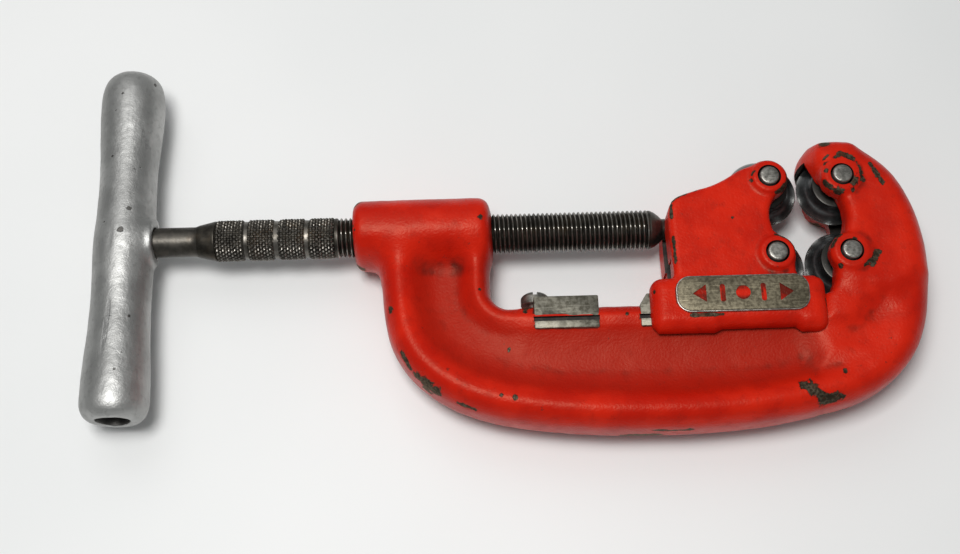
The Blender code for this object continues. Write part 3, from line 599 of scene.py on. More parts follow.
def turned_steel(name):
    n = Nodes(name)
    patch = n.noise(500, 3, 0.55)
    colour = n.mix(n.ramp(patch, 0.3, 0.7), (0.082, 0.085, 0.086), (0.112, 0.116, 0.118))
    colour = n.mix(n.math("MULTIPLY", n.ramp(n.noise(110, 3), 0.50, 0.72), 0.35), colour, (0.085, 0.080, 0.072))
    # the hub face inside the bevel is painted near-black: painted shade from the cheeks
    colour = n.mix(n.math("MULTIPLY", n.attribute("seat"), 0.9), colour, (0.022, 0.020, 0.017))
    colour = n.mix(n.math("MULTIPLY", n.ramp(n.attribute("rim"), 0.2, 0.9), 0.75), colour, (0.36, 0.36, 0.35))
    roughness = n.value_mix(n.attribute("rim"), n.math("ADD", 0.30, n.math("MULTIPLY", patch, 0.12)), 0.22)
    return n.done(colour, roughness, 0.92, n.bump(n.noise(1500, 2, 0.5), 0.00002))


paint = red_paint("red_enamel_frame")
paint_2 = red_paint("red_enamel_slide", 1.04)
bare = bare_metal("machined_rail_steel", (0.235, 0.222, 0.180), (0.105, 0.096, 0.072), 0.44, 0.72, 420)
plate_steel = bare_metal("plate_steel", (0.215, 0.188, 0.128), (0.110, 0.093, 0.060), 0.42, 0.72, 620)
# inside paints every bore, slot and groove near-black as painted shade
inside = cavity_shade_iron("cavity_iron_painted_shade")
steel = screw_steel("oiled_screw_steel")
aluminium = cast_aluminium("cast_aluminium")
pin_steel = bare_metal("pin_steel", (0.36, 0.345, 0.315), (0.215, 0.205, 0.185), 0.36, 0.9, 700)
wheel_steel = turned_steel("wheel_steel")
clip_steel = bare_metal("spring_clip_steel", (0.20, 0.19, 0.18), (0.08, 0.075, 0.07), 0.4, 0.9, 300)
stop_steel = bare_metal("stop_screw_steel", (0.36, 0.345, 0.31), (0.16, 0.15, 0.13), 0.36, 0.85, 300)

# ---------------------------------------------------------------- frame casting
BACK = ((-50.0, -8.0), (-50.2, -20.0), (-49.6, -31.0), (-48.3, -43.5), (-45.2, -55.5),
        (-39.4, -66.3), (-30.0, -76.3), (-16.5, -85.0), (0.0, -91.0), (21.0, -95.0),
        (46.0, -97.7), (73.0, -98.6), (100.0, -98.1), (124.0, -96.2), (145.5, -92.6),
        (162.0, -88.5), (176.0, -82.4), (188.0, -72.8), (197.0, -59.0), (202.1, -42.5),
        (203.9, -25.0), (202.9, -8.0), (199.2, 8.0), (192.2, 21.8), (183.6, 30.8),
        (175.3, 36.3), (167.0, 38.1), (159.0, 37.8))
NOSE = ((159.0, 37.8), (155.6, 36.8), (153.6, 34.6), (153.2, 31.0), (153.2, 27.0), (153.6, 23.0), (154.4, 18.6))
JAW_EDGE = ((157.6, 15.6), (161.6, 10.4), (164.4, 4.0), (165.1, -3.0), (163.2, -10.4),
            (160.4, -16.8), (159.2, -22.8), (158.2, -28.0), (156.0, -33.0), (154.8, -38.0))
back, nose, jaw_edge = smooth_path(BACK, 4.0), smooth_path(NOSE, 2.0), smooth_path(JAW_EDGE, 2.0)
BEAD_A, INNER_A, INNER_B, CORNER_R, HUB_X0, HUB_X1 = 9.0, 6.6, 13.4, 15.0, -62.6, 0.8
inner_x, inner_y = HUB_X1 - INNER_A + 0.2, -38.0 - INNER_A - 1.0
inner_path = ([(inner_x, 4.0), (inner_x, -20.0)] + arc(inner_x + CORNER_R, inner_y + CORNER_R, CORNER_R, 180, 270, 16)
              + [(158.0, inner_y)])
body_outline = (offset_path(back, -BEAD_A * 0.7)[:-1] + [(x + 4.0, y) for x, y in nose if y < 31.0]
                + [(x + 0.3, y) for x, y in jaw_edge] + [(154.8, inner_y + 0.5)]
                + [(x + 0.4, y + 0.4) for x, y in inner_path[-2:1:-1]] + [(inner_x + 0.4, 2.0), (-44.0, 2.0)])
hook_back = [p for p in offset_path(back, -5.5) if p[0] > 158.0 and p[1] > -32.0]
cheek_outline = (hook_back + [(159.6, 31.4), (157.6, 29.2), (156.6, 26.0), (156.4, 22.0), (156.6, 18.6)]
                 + [p for p in jaw_edge if -32.0 < p[1] < 16.5]
                 + [(160.0, -34.5), (167.0, -38.0), (176.0, -40.0), (185.0, -39.0), (192.0, -35.5)])


def boss_field(X, Y, Z, x, y, r, top, flare):
    rho = np.hypot(X - x, Y - y)[..., None]
    return np.maximum(np.maximum(Z - top, 13.0 - Z), (rho - (r + flare * np.clip(top - Z, 0.0, 2.4))) * 0.9)


def frame_field(step):
    X, Y, Z, _, origin = grid(-67.0, 208.0, -103.0, 43.0, -25.0, 25.0, step)
    v = to_path(X, Y, inner_path)
    d_body = to_polygon(X, Y, body_outline)
    thin = 1.6 * np.clip((-4.0 - X) / 12.0, 0.0, 1.0) * np.clip((Y + 60.0) / 20.0, 0.0, 1.0)
    f = slab(d_body, Z + thin[..., None], 8.0, 3.0)
    # flank that slopes from the inner rib and the rail beam down to the web
    fade = 9.0 * np.clip((16.0 - X) / 30.0, 0.0, 1.0) + 0.12 * np.maximum(X - 150.0, 0.0)
    flank = np.maximum((Z - (13.0 - fade - 0.52 * np.maximum(v - 5.0, 0.0))[..., None]) * 0.88, d_body[..., None] + 1.5)
    flank = np.maximum(flank, (v - 20.0)[..., None])
    f = blend(f, flank, 6.0)
    f = blend(f, oval(v, Z, INNER_A, INNER_B), 4.5)
    f = blend(f, oval(to_path(X, Y, offset_path(back, -BEAD_A)), Z, BEAD_A, 15.6), 11.0)
    beak = [(171.0, 31.0), (165.0, 31.4), (159.8, 31.1), (159.6, 28.6)]
    f = blend(f, oval(to_path(X, Y, beak), Z, 5.4, 18.0), 3.0)
    nose_block = [(171.0, 37.4), (156.8, 37.3), (154.9, 36.5), (154.1, 34.6), (154.0, 28.0), (155.0, 25.6),
                  (158.0, 25.0), (160.0, 27.0), (172.0, 28.0)]
    f = blend(f, slab(to_polygon(X, Y, nose_block), Z, 9.5, 3.6), 1.0)
    cheek = slab(to_polygon(X, Y, cheek_outline), Z, 20.6, 6.0)
    f = blend(f, cheek, 10.5)
    heel = [(160.0, -42.0), (184.0, -38.0), (192.0, -47.0), (187.0, -61.0), (171.0, -72.0), (150.0, -70.0), (146.0, -56.0)]
    f = blend(f, slab(to_polygon(X, Y, heel), Z, 12.6, 7.0), 11.0)
    ramp = [(153.2, -51.0), (153.2, -39.0), (158.0, -33.6), (166.0, -31.0), (174.0, -40.0), (166.0, -51.0)]
    f = blend(f, slab(to_polygon(X, Y, ramp), Z, 16.6, 5.0), 7.0)
    void = [(120.0, 24.2), (151.4, 24.2), (153.6, 20.4), (155.0, 16.6), (158.2, 15.2), (161.5, 11.6), (163.8, 7.6),
            (165.2, 3.0), (165.6, -3.0), (163.9, -9.5), (161.0, -15.5), (159.3, -20.5), (158.2, -27.0),
            (157.4, -33.0), (155.4, -37.8), (120.0, -37.8)]
    f = -blend(-f, to_polygon(X, Y, void)[..., None] + 0.0 * Z, 3.0)
    # nothing swells past the outer curve
    outer = [(-70.0, -27.0), (-50.3, -25.0)] + [p for p in back if p[1] < -25.0 or p[0] > 100.0] + [(159.0, 60.0), (-70.0, 60.0)]
    d_outer = to_polygon(X, Y, outer)[..., None] + 0.0 * Z
    f = -blend(-f, 0.45 - d_outer, 1.6)
    # hub: a superelliptic barrel, a little arched and with rounded ends
    bulge = 0.5 * np.maximum(1.0 - ((X - (HUB_X0 + HUB_X1) / 2) / 31.7) ** 2, 0.0)[..., None]
    a, b, p = 15.5 + bulge, 20.8 + bulge, 2.2
    y, z = np.abs(Y - 0.2)[..., None] + 1e-6, Z + 1e-6
    reach = ((y / a) ** p + (z / b) ** p) ** (1 / p)
    slope = reach ** (1 - p) * np.hypot(y ** (p - 1) / a ** p, z ** (p - 1) / b ** p)
    barrel = (reach - 1.0) / np.maximum(slope, 1e-3)
    ends = (np.abs(X - (HUB_X0 + HUB_X1) / 2) - (HUB_X1 - HUB_X0) / 2)[..., None]
    r = 4.6
    u, w = barrel + r, ends + r
    hub = np.minimum(np.maximum(u, w), 0.0) + np.hypot(np.maximum(u, 0.0), np.maximum(w, 0.0)) - r
    f = blend(f, hub, 8.5)
    for py in PAIR_Y:
        f = blend(f, boss_field(X, Y, Z, HOOK_X, py, 8.0, 22.4, 0.7), 2.0)
    # low cast shoulder round the stop screw
    f = blend(f, slab(to_polygon(X, Y, [(13.0, -48.0), (13.0, -41.5), (16.0, -40.4), (22.0, -40.4), (22.0, -48.0)]), Z, 11.6, 2.6), 2.0)
    return f + 0.28, origin


VOXEL = 1.02
field, origin = frame_field(VOXEL)
casting = skin("casting", field, origin, VOXEL)
relax(casting, 2)
roughen(casting, ((22.0, 0.22), (7.0, 0.11), (3.2, 0.06)))
casting.data.materials.append(paint)

RAIL_END = RAIL_X1 - 2.9
rail = soften(prism("rail", [(RAIL_X0, RAIL_BOTTOM), (RAIL_END, RAIL_BOTTOM), (RAIL_END, RAIL_TOP),
                             (RAIL_X0 + 3.2, RAIL_TOP), (RAIL_X0, RAIL_TOP - 5.0)], -RAIL_HALF, RAIL_HALF, mat=bare), 0.35, 2)
pad = soften(block("pad", PAD_X0, PAD_X1, RAIL_BOTTOM, RAIL_TOP, -RAIL_HALF, RAIL_HALF, bare), 0.6, 2)
merge(casting, all_of([rail, pad]), "UNION")
cutters = []
for side in (1, -1):
    z0, z1 = sorted((side * GROOVE_HALF, side * 18.0))
    cutters.append(block("groove", RAIL_X0 - 0.4, RAIL_END - 0.2, GROOVE_Y1, GROOVE_Y0, z0, z1, inside))
    cutters.append(block("groove", PAD_X0 - 0.2, PAD_X1 + 0.2, GROOVE_Y1, GROOVE_Y0, z0, z1, inside))
cutters.append(block("relief", RAIL_X0 - 4.0, RAIL_X1 + 6.0, RAIL_TOP - 2.2, RAIL_TOP + 4.0, -3.5, 3.5, bare))
cutters.append(prism("slot", arc(HOOK_X, PAIR_Y[0], POCKET_R, -30, 140, 40) + [(140.0, 30.0), (140.0, -38.0 + GAP)]
                     + arc(HOOK_X, PAIR_Y[1], POCKET_R, 251, 390, 36), -SLOT_HALF, SLOT_HALF, mat=inside))
cutters.append(rod("screw_bore", ((HUB_X0 + HUB_X1) / 2, 0, 0), 9.9, 90.0, "X", 64, inside))
for y in PAIR_Y:
    cutters.append(rod("pin_bore", (HOOK_X, y, 0), PIN_HOLE_R + 0.35, 60.0, "Z", 48, inside))
cutters.append(rod("stop_seat", (STOP_X, STOP_SEAT + 10.0, 0), STOP_HEAD_R + 0.5, 20.0, "Y", 48, bare))
cutters.append(rod("stop_bore", (STOP_X, STOP_SEAT - 7.0, 0), STOP_SHANK_R + GAP, 20.0, "Y", 32, inside))
merge(casting, all_of(cutters), "DIFFERENCE")


def chips(ob, spots, random_edges=0, seed=3, edge_low=0.0):
    """Writes how close each vertex is to a worn spot, (x, y, z, radius) or with a second end, and the hollows."""
    co = coordinates(ob.data)
    value = np.zeros(len(co))
    for spot in spots:
        a = np.array(spot[0:3])
        b = np.array(spot[4:7]) if len(spot) > 4 else a
        e = b - a
        t = np.clip(((co - a) @ e) / max(float(e @ e), 1e-9), 0, 1)
        d = np.linalg.norm(co - a - t[:, None] * e, axis=1)
        value = np.maximum(value, np.clip(1.25 * (1.0 - d / (spot[3] * 1.7)), 0, 1.0))
    hollow = hollows(ob.data)
    if random_edges:
        rng = np.random.default_rng(seed)
        proud = np.where(-hollow > np.quantile(-hollow, 0.93))[0]
        for k in rng.choice(proud, random_edges, replace=False):
            radius = 0.9 + 2.6 * rng.random() ** 2.5
            d = np.linalg.norm(co - co[k], axis=1)
            value = np.maximum(value, np.clip(1.1 * (1.0 - d / (radius * 1.7)), 0, 0.85))
    attribute(ob.data, "chip", value)
    # hollow and recess drive the grime and painted shade in the red paint
    attribute(ob.data, "hollow", np.clip(hollow / 0.5, -1, 1))
    facing = np.abs(normals(ob.data)[:, 2])
    attribute(ob.data, "recess", np.clip((14.2 - np.abs(co[:, 2])) / 3.0, 0, 1) * np.clip((facing - 0.55) / 0.3, 0, 1))
    return ob


FRAME_CHIPS = (
    (156.8, 13.2, 20.6, 1.5, 161.8, 10.4, 20.2), (157.2, -18.2, 20.8, 1.4, 161.6, -13.4, 20.4), (157.0, 24.4, 21.4, 0.8, 160.4, 26.6, 21.4),
    (174.2, 21.2, 21.4, 0.8, 174.9, 13.6, 21.4), (171.0, -28.4, 21.2, 0.9, 175.0, -24.6, 21.2), (154.6, 30.0, 3.0, 0.9, 154.8, 33.5, 2.0),
    (-45.0, -40.6, 12.0, 1.7), (9.5, -41.0, 12.6, 1.9), (16.0, -43.5, 13.2, 1.3),
    (-40.5, -62.0, 11.0, 2.0, -38.0, -68.0, 10.0), (-33.5, -73.0, 9.0, 3.4, -26.0, -78.0, 8.0),
    (-29.0, -76.0, 3.0, 3.2), (-20.0, -70.5, 14.0, 1.5), (-15.0, -83.5, 8.0, 1.4, -8.0, -86.6, 8.0),
    (72.0, -97.0, 4.0, 1.8, 88.0, -97.0, 4.0), (106.0, -95.0, 7.0, 2.0), (121.0, -94.0, 5.0, 1.6),
    (139.0, -82.0, 14.8, 3.0, 146.0, -86.5, 13.0), (146.0, -88.5, 11.0, 2.6, 154.0, -86.5, 12.0), (141.0, -79.0, 15.0, 1.5),
    (157.5, -76.0, 14.8, 1.4), (162.0, -82.0, 12.0, 1.6), (185.0, -60.0, 12.0, 1.2),
    (179.5, 22.0, 20.0, 1.4, 184.0, 12.5, 20.0), (173.0, 22.4, 20.6, 1.2, 175.4, 14.0, 20.6),
    (158.5, 22.0, 20.4, 1.1, 166.0, 27.0, 21.4), (166.0, 27.4, 21.4, 1.3, 171.6, 24.6, 21.4), (160.0, 12.5, 20.6, 1.2),
    (174.5, -27.5, 20.4, 1.6, 177.4, -21.8, 20.6), (160.2, -28.0, 20.0, 1.3), (170.0, 9.0, 20.8, 1.1),
    (-60.6, 12.5, 9.0, 1.6), (-61.5, -7.0, 14.0, 1.2), (-22.0, 13.5, 12.0, 1.0), (-2.0, 12.5, 8.0, 1.3),
    (155.5, 33.0, 6.0, 1.2), (154.8, 25.0, -8.0, 2.0), (-14.0, 3.0, 19.5, 0.8), (8.0, -60.0, 8.5, 0.9),
    (150.0, -90.5, -6.0, 3.4, 160.0, -87.0, -7.0), (-36.0, -71.0, -8.0, 3.0), (198.0, 0.0, -9.0, 2.4, 192.0, 18.0, -8.0),
    (60.0, -97.5, -5.0, 2.6, 74.0, -97.9, -4.0), (30.0, -95.0, -8.0, 2.0))
chips(casting, FRAME_CHIPS, 46, 5)
make(casting, "frame_casting_skin", "frame", "frame_casting")

# ---------------------------------------------------------------- slide casting
block_outline = smooth_path(((84.6, -40.0), (84.6, 4.4), (87.4, 8.4), (96.0, 11.6), (105.0, 14.2),
                             (112.0, 17.6), (118.0, 21.4), (124.0, 23.6), (131.0, 25.4)), 2.0)[:-1]
block_outline += arc(SLIDE_X, PAIR_Y[0], 8.8, 90, -35, 16)
block_outline += smooth_path(((134.6, 8.6), (131.4, 3.0), (130.6, -3.0), (131.6, -9.0)), 2.0)
block_outline += arc(SLIDE_X, PAIR_Y[1], 8.8, 60, -20, 12)
block_outline += [(140.4, -40.0)]
bx0, bx1, by1, by0 = 72.8, 152.4, -31.0, -56.8
skirt_outline = ([(bx0 + 3.0, by0 + 0.4), (101.0, by0 + 0.2), (104.5, by0 + 1.8), (137.5, by0 + 2.0), (140.5, by0 - 0.3)]
                 + arc(bx1 - 5.0, by0 + 4.6, 5.0, 270, 360, 8) + arc(bx1 - 5.5, by1 - 5.5, 5.5, 0, 90, 8)
                 + arc(bx0 + 5.5, by1 - 5.5, 5.5, 90, 180, 8) + [(bx0, by0 + 4.0)])


def slide_field(step):
    X, Y, Z, _, origin = grid(68.0, 156.0, -61.0, 30.0, -25.0, 25.0, step)
    f = slab(to_polygon(X, Y, block_outline), Z, 20.2, 3.0)
    skirt = slab(to_polygon(X, Y, skirt_outline), Z, 22.0, 6.4)
    f = blend(f, skirt, 2.6)
    for py in PAIR_Y:
        f = blend(f, boss_field(X, Y, Z, SLIDE_X, py, 7.4, 22.4, 0.6), 1.6)
    return f, origin


VOXEL = 0.78
field, origin = slide_field(VOXEL)
slide = skin("slide", field, origin, VOXEL)
relax(slide, 2)
roughen(slide, ((18.0, 0.16), (6.0, 0.09), (2.8, 0.05)), 7.0)
slide.data.materials.append(paint_2)
px0, px1, pym, ph = 84.2, 143.4, -40.6, 8.1
plate = soften(prism("plate", rounded_box(px0, px1, pym - ph, pym + ph, 6.2), -PIN_HALF, PIN_HALF, mat=plate_steel), 0.45, 3, 60)
rim = soften(prism("plate_rim", rounded_box(px0 - 0.45, px1 + 0.45, pym - ph - 0.45, pym + ph + 0.45, 6.6),
                   -PIN_HALF + 0.35, PIN_HALF - 0.35, mat=pin_steel), 0.2, 2, 60)
merge(slide, rim, "UNION")
merge(slide, plate, "UNION")
# plain marks sunk into the plate: a round dot, bars and two arrow heads
marks = []
for face in (1, -1):
    z0, z1 = sorted((face * (PIN_HALF - 0.4), face * (PIN_HALF + 2.0)))
    marks.append(prism("arrow", [(91.0, pym), (97.2, pym + 4.2), (97.2, pym - 4.2)], z0, z1, mat=paint_2))
    marks.append(prism("arrow", [(136.6, pym), (130.4, pym - 4.2), (130.4, pym + 4.2)], z0, z1, mat=paint_2))
    for x in (104.6, 123.0):
        marks.append(prism("bar", rounded_box(x - 1.15, x + 1.15, pym - 4.2, pym + 4.2, 1.0, 5), z0, z1, mat=paint_2))
    marks.append(rod("dot", (113.8, pym, (z0 + z1) / 2), 3.3, z1 - z0, "Z", 32, paint_2))
tongue = [(-RAIL_HALF - GAP, RAIL_TOP + 0.4), (-RAIL_HALF - GAP, GROOVE_Y0 - GAP), (-GROOVE_HALF - GAP, GROOVE_Y0 - GAP),
          (-GROOVE_HALF - GAP, GROOVE_Y1 + GAP), (-RAIL_HALF - GAP, GROOVE_Y1 + GAP), (-RAIL_HALF - GAP, -70.0)]
outline = tongue + [(-z, y) for z, y in reversed(tongue)]
channel = prism("channel", [(y, z) for z, y in outline], 60.0, 170.0, "X", mat=inside)
bm = bmesh.new(); bm.from_mesh(channel.data); bmesh.ops.recalc_face_normals(bm, faces=bm.faces); bm.to_mesh(channel.data); bm.free()
legs_gap = block("legs_gap", 60.0, 84.8, RAIL_TOP - 4.0, -20.0, -RAIL_HALF - GAP, RAIL_HALF + GAP, paint_2)
wheel_room = prism("wheel_room", arc(SLIDE_X, PAIR_Y[0], POCKET_R, 120, 205, 24) + arc(SLIDE_X, PAIR_Y[1], POCKET_R, 155, 235, 24)
                   + [(SLIDE_X - 6.0, -46.0), (165.0, -46.0), (165.0, 50.0), (122.0, 50.0)], -SLOT_HALF, SLOT_HALF, mat=inside)
neck_w, button_w = NECK_R + 0.5, BUTTON_R + 0.4
neck_slot = prism("neck_slot", arc(0.0, 0.0, neck_w, -90, 90, 20) + [(-45.0, neck_w), (-45.0, -neck_w)], 80.0, 90.2, "X", mat=inside)
button_slot = prism("button_slot", arc(0.0, 0.0, button_w, -90, 90, 20) + [(-45.0, button_w), (-45.0, -button_w)], 90.1, 95.9, "X", mat=inside)
bores = [rod("pin_bore", (SLIDE_X, y, 0), PIN_HOLE_R + 0.35, 60.0, "Z", 48, inside) for y in PAIR_Y]
merge(slide, all_of([channel, legs_gap, wheel_room, neck_slot, button_slot] + bores), "DIFFERENCE")
merge(slide, all_of(marks), "DIFFERENCE")
SLIDE_CHIPS = (
    (132.4, -11.9, 21.2, 1.3, 137.8, -14.6, 20.8), (138.2, -15.4, 20.4, 1.5, 141.2, -22.0, 20.2), (141.4, -23.0, 20.0, 1.3, 142.0, -30.0, 19.6),
    (134.8, 9.2, 20.4, 1.5, 139.0, 12.4, 20.6), (139.4, 12.8, 20.4, 1.2, 140.2, 17.4, 20.6), (126.5, 20.4, 21.6, 0.8, 123.6, 17.6, 21.6),
    (86.0, 7.4, 18.0, 1.6, 91.5, 10.2, 18.6), (84.9, -2.0, 19.6, 0.9, 84.9, 5.0, 19.0), (121.6, 23.6, 20.6, 1.1, 129.5, 26.0, 20.8),
    (130.0, 26.0, 20.6, 1.4, 135.8, 24.2, 20.6), (122.9, 15.0, 21.4, 1.2), (136.0, 9.0, 21.6, 1.0, 138.4, 12.0, 21.2),
    (141.0, -28.2, 20.8, 0.9), (148.6, -33.2, 19.0, 1.3), (151.4, -44.0, 18.0, 1.3, 150.6, -53.0, 17.0),
    (74.0, -38.0, 20.0, 1.0), (90.0, -50.4, 22.0, 0.8, 104.0, -50.3, 22.0), (113.0, -3.0, 20.4, 0.7), (97.0, 11.4, 19.0, 0.8),
    (84.9, -24.0, 19.6, 0.9, 84.9, -12.0, 19.6), (133.6, -12.6, 19.6, 1.2, 139.4, -15.4, 19.2), (138.6, 10.0, 18.0, 1.3))
chips(slide, SLIDE_CHIPS, 9, 23)
make(slide, "slide_housing_skin", "slide", "slide_housing")

# ---------------------------------------------------------------- feed screw
ENVELOPE = ((-179.0, 6.3), (-178.4, 7.0), (-137.6, 7.0), (-135.6, 7.7), (-128.6, 9.35), (-127.9, 9.45), (-70.6, 9.45),
            (-70.0, 9.5), (74.9, 9.5), (76.2, 9.35), (77.4, 9.1), (79.2, 8.2), (81.2, 6.7), (82.6, 5.3), (82.9, 5.1), (90.3, 5.1),
            (90.4, 7.6), (90.9, 8.0), (95.1, 8.0), (95.6, 7.5))
env_x, env_r = np.array(ENVELOPE).T
SEGMENTS = 136
stations = np.unique(np.round(np.concatenate([
    env_x, np.arange(-179.0, -128.0, 2.5), np.arange(-128.0, -71.4, 0.36), np.arange(-71.4, 76.4, PITCH / 7),
    np.arange(76.4, 83.0, 0.6), np.array([86.0, 93.0])]), 3))
turn = np.arange(SEGMENTS) * 2 * np.pi / SEGMENTS
SX, TH = np.meshgrid(stations, turn, indexing="ij")
R = np.interp(SX, env_x, env_r)
crest = np.full(R.shape, 0.35)
# thread: 60 degree flanks, a small flat on the crest, cut away where the screw tapers
phase = np.mod(SX / PITCH - TH / (2 * np.pi), 1.0)
deep = np.clip((np.abs(phase - 0.5) * 2 - 0.14) / 0.74, 0.0, 1.0)
fade = np.clip((SX + 71.0) / 1.6, 0, 1) * np.clip((76.6 - SX) / 1.4, 0, 1)
thread = 9.5 - 1.28 * deep
R = R * (1 - fade) + np.minimum(R, thread) * fade
crest = np.where(fade > 0.5, 1.0 - deep, crest)
# knurled bands: two crossing helices leave pyramids
for x0, x1 in KNURL_BANDS:
    edge = np.clip((SX - x0) / 0.7, 0, 1) * np.clip((x1 - SX) / 0.7, 0, 1)
    u = np.abs(np.mod(27 * TH / (2 * np.pi) + SX / 2.75, 1.0) * 2 - 1)
    w = np.abs(np.mod(27 * TH / (2 * np.pi) - SX / 2.75, 1.0) * 2 - 1)
    height = np.minimum(1 - u, 1 - w) * 1.5
    R = np.where((SX > x0) & (SX < x1), 8.75 + edge * np.clip(height, 0, 1.0) * 1.05, R)
    crest = np.where((SX > x0) & (SX < x1), 0.30 + 0.62 * np.clip(height, 0, 1) * edge, crest)
for x0, x1 in zip(KNURL_BANDS, KNURL_BANDS[1:]):
    between = (SX >= x0[1]) & (SX <= x1[0])
    R = np.where(between, 8.95, R)
    crest = np.where(between, 0.72, crest)
crest = np.where(SX < -136.0, 0.62, crest)
crest = np.where(SX > 76.4, 0.66, crest)
# handling marks on the knurl
R = R - 0.12 * np.clip(np.sin(SX * 0.9 + 3.0 * np.sin(TH)), 0, 1) * ((SX > -128.0) & (SX < -71.4)) * 0.8
points = np.stack([SX, R * np.cos(TH), R * np.sin(TH)], -1).reshape(-1, 3)
quads = []
count_x = len(stations)
for i in range(count_x - 1):
    for k in range(SEGMENTS):
        j = (k + 1) % SEGMENTS
        quads.append((i * SEGMENTS + k, i * SEGMENTS + j, (i + 1) * SEGMENTS + j, (i + 1) * SEGMENTS + k))
first, last = len(points), len(points) + 1
points = np.concatenate([points, [[stations[0], 0, 0], [stations[-1], 0, 0]]])
for k in range(SEGMENTS):
    j = (k + 1) % SEGMENTS
    quads.append((first, j, k))
    quads.append((last, (count_x - 1) * SEGMENTS + k, (count_x - 1) * SEGMENTS + j))
screw = mesh_of("screw", points, quads)
bm = bmesh.new(); bm.from_mesh(screw.data); bmesh.ops.recalc_face_normals(bm, faces=bm.faces); bm.to_mesh(screw.data); bm.free()
attribute(screw.data, "crest", np.concatenate([crest.ravel(), [0.5, 0.5]]))
make(screw, "feed_screw_thread", "screw", "feed_screw", (steel,), 50)

# ---------------------------------------------------------------- tee handle
HANDLE_PROFILE = ((HANDLE_TOP, 4.0), (HANDLE_TOP - 1.6, 9.4), (HANDLE_TOP - 5.0, 12.9), (HANDLE_TOP - 10.0, 14.6),
                  (74.0, 15.1), (60.0, 14.9), (44.0, 14.0), (30.0, 13.5), (16.0, 13.8), (0.0, 14.4),
                  (-16.0, 14.0), (-30.0, 13.8), (-44.0, 14.2), (-58.0, 15.0), (-72.0, 15.6),
                  (HANDLE_BOTTOM + 6.0, 15.4), (HANDLE_BOTTOM + 2.4, 14.0), (HANDLE_BOTTOM + 0.4, 11.8))
side = smooth_path([(r, y) for y, r in HANDLE_PROFILE], 1.5)
half_profile = [(0.0, HANDLE_TOP + 0.3)] + side + [(11.0, HANDLE_BOTTOM), (0.0, HANDLE_BOTTOM)]


def handle_field(step):
    X, Y, Z, ZS, origin = grid(-189.0, -153.0, -89.0, 92.0, -18.0, 18.0, step)
    rho = np.sqrt((X - HANDLE_X)[..., None] ** 2 + ZS ** 2)
    YY = np.broadcast_to(Y[..., None], rho.shape)
    outline = half_profile + [(-r, y) for r, y in reversed(half_profile[1:-1])]
    f = to_polygon(rho, YY, outline)
    axis = np.sqrt(Y[..., None] ** 2 + ZS ** 2)
    XX = X[..., None]
    reach = 10.6 + 2.2 * np.clip((-160.0 - XX) / 8.0, 0, 1)
    collar = np.maximum((axis - reach) * 0.95, np.maximum(XX + 156.8, HANDLE_X - XX))
    f = blend(f, collar, 3.4)
    # cored hollow, a little out of round, with a flared mouth
    mouth = 7.7 + 0.3 * np.clip((HANDLE_BOTTOM + 2.0 - YY) / 2.0, 0, 1) + 0.35 * np.sin(3 * np.arctan2(ZS, (X - HANDLE_X)[..., None]))
    core = np.maximum(rho - mouth, YY + 30.0)
    f = np.maximum(f, -core)
    shank = np.maximum(axis - 7.3, XX + 150.0)
    shank = np.maximum(shank, -179.3 - XX)
    return np.maximum(f, -shank), origin


VOXEL = 0.74
field, origin = handle_field(VOXEL)
handle = skin("handle", field, origin, VOXEL)
relax(handle, 2)
roughen(handle, ((26.0, 0.30), (8.0, 0.12), (3.0, 0.07), (1.6, 0.04)), 3.0)
co = coordinates(handle.data)
deep = np.hypot(co[:, 0] - HANDLE_X, co[:, 2]) < 8.8
value = np.zeros(len(co))
for x, y, z, r in ((-167.0, 12.5, 13.0, 1.3), (-170.0, 1.5, 14.2, 1.7), (-158.9, 80.0, 8.0, 1.5), (-173.0, 72.0, 14.6, 1.0),
                   (-168.5, -66.0, 14.6, 0.9), (-176.5, 40.0, 12.6, 0.8), (-164.0, -40.0, 12.0, 0.8)):
    value = np.maximum(value, np.clip(1.2 * (1 - np.linalg.norm(co - np.array((x, y, z)), axis=1) / (r * 1.6)), 0, 1))
# the inside of the cored hollow is marked as a chip over its whole depth, so it is painted near-black: painted shade in
# the bore
value = np.maximum(value, np.where(deep & (co[:, 1] < HANDLE_BOTTOM + 62) & (co[:, 1] > HANDLE_BOTTOM + 0.4), 1.0, 0.0))
attribute(handle.data, "chip", value)
make(handle, "t_handle_casting", "screw", "t_handle", (aluminium,), 60)

# ---------------------------------------------------------------- wheels, pins, clips, stop screw
edge_profile = [(PIN_R + GAP, WHEEL_HALF - 0.5), (PIN_R + GAP + 0.5, WHEEL_HALF), (10.3, WHEEL_HALF), (10.9, WHEEL_HALF - 0.25),
                (11.25, WHEEL_HALF - 0.9), (11.45, 6.4), (11.7, 5.2), (12.2, 4.35), (13.0, 3.75), (13.9, 3.15), (14.2, 2.75),
                (15.6, 1.25), (WHEEL_R - 0.08, 0.16), (WHEEL_R, 0.05)]
wheel_profile = edge_profile + [(r, -z) for r, z in reversed(edge_profile)]
pin_profile = [(0.0, PIN_HALF - 0.02), (2.4, PIN_HALF), (PIN_R - 0.7, PIN_HALF - 0.03), (PIN_R - 0.3, PIN_HALF - 0.2),
               (PIN_R, PIN_HALF - 0.7), (PIN_R, 8.0), (PIN_R, -8.95), (3.65, -8.95), (3.65, -10.35), (PIN_R, -10.35),
               (PIN_R, -PIN_HALF + 0.7), (PIN_R - 0.3, -PIN_HALF + 0.2), (PIN_R - 0.7, -PIN_HALF + 0.03), (2.4, -PIN_HALF),
               (0.0, -PIN_HALF + 0.02)]
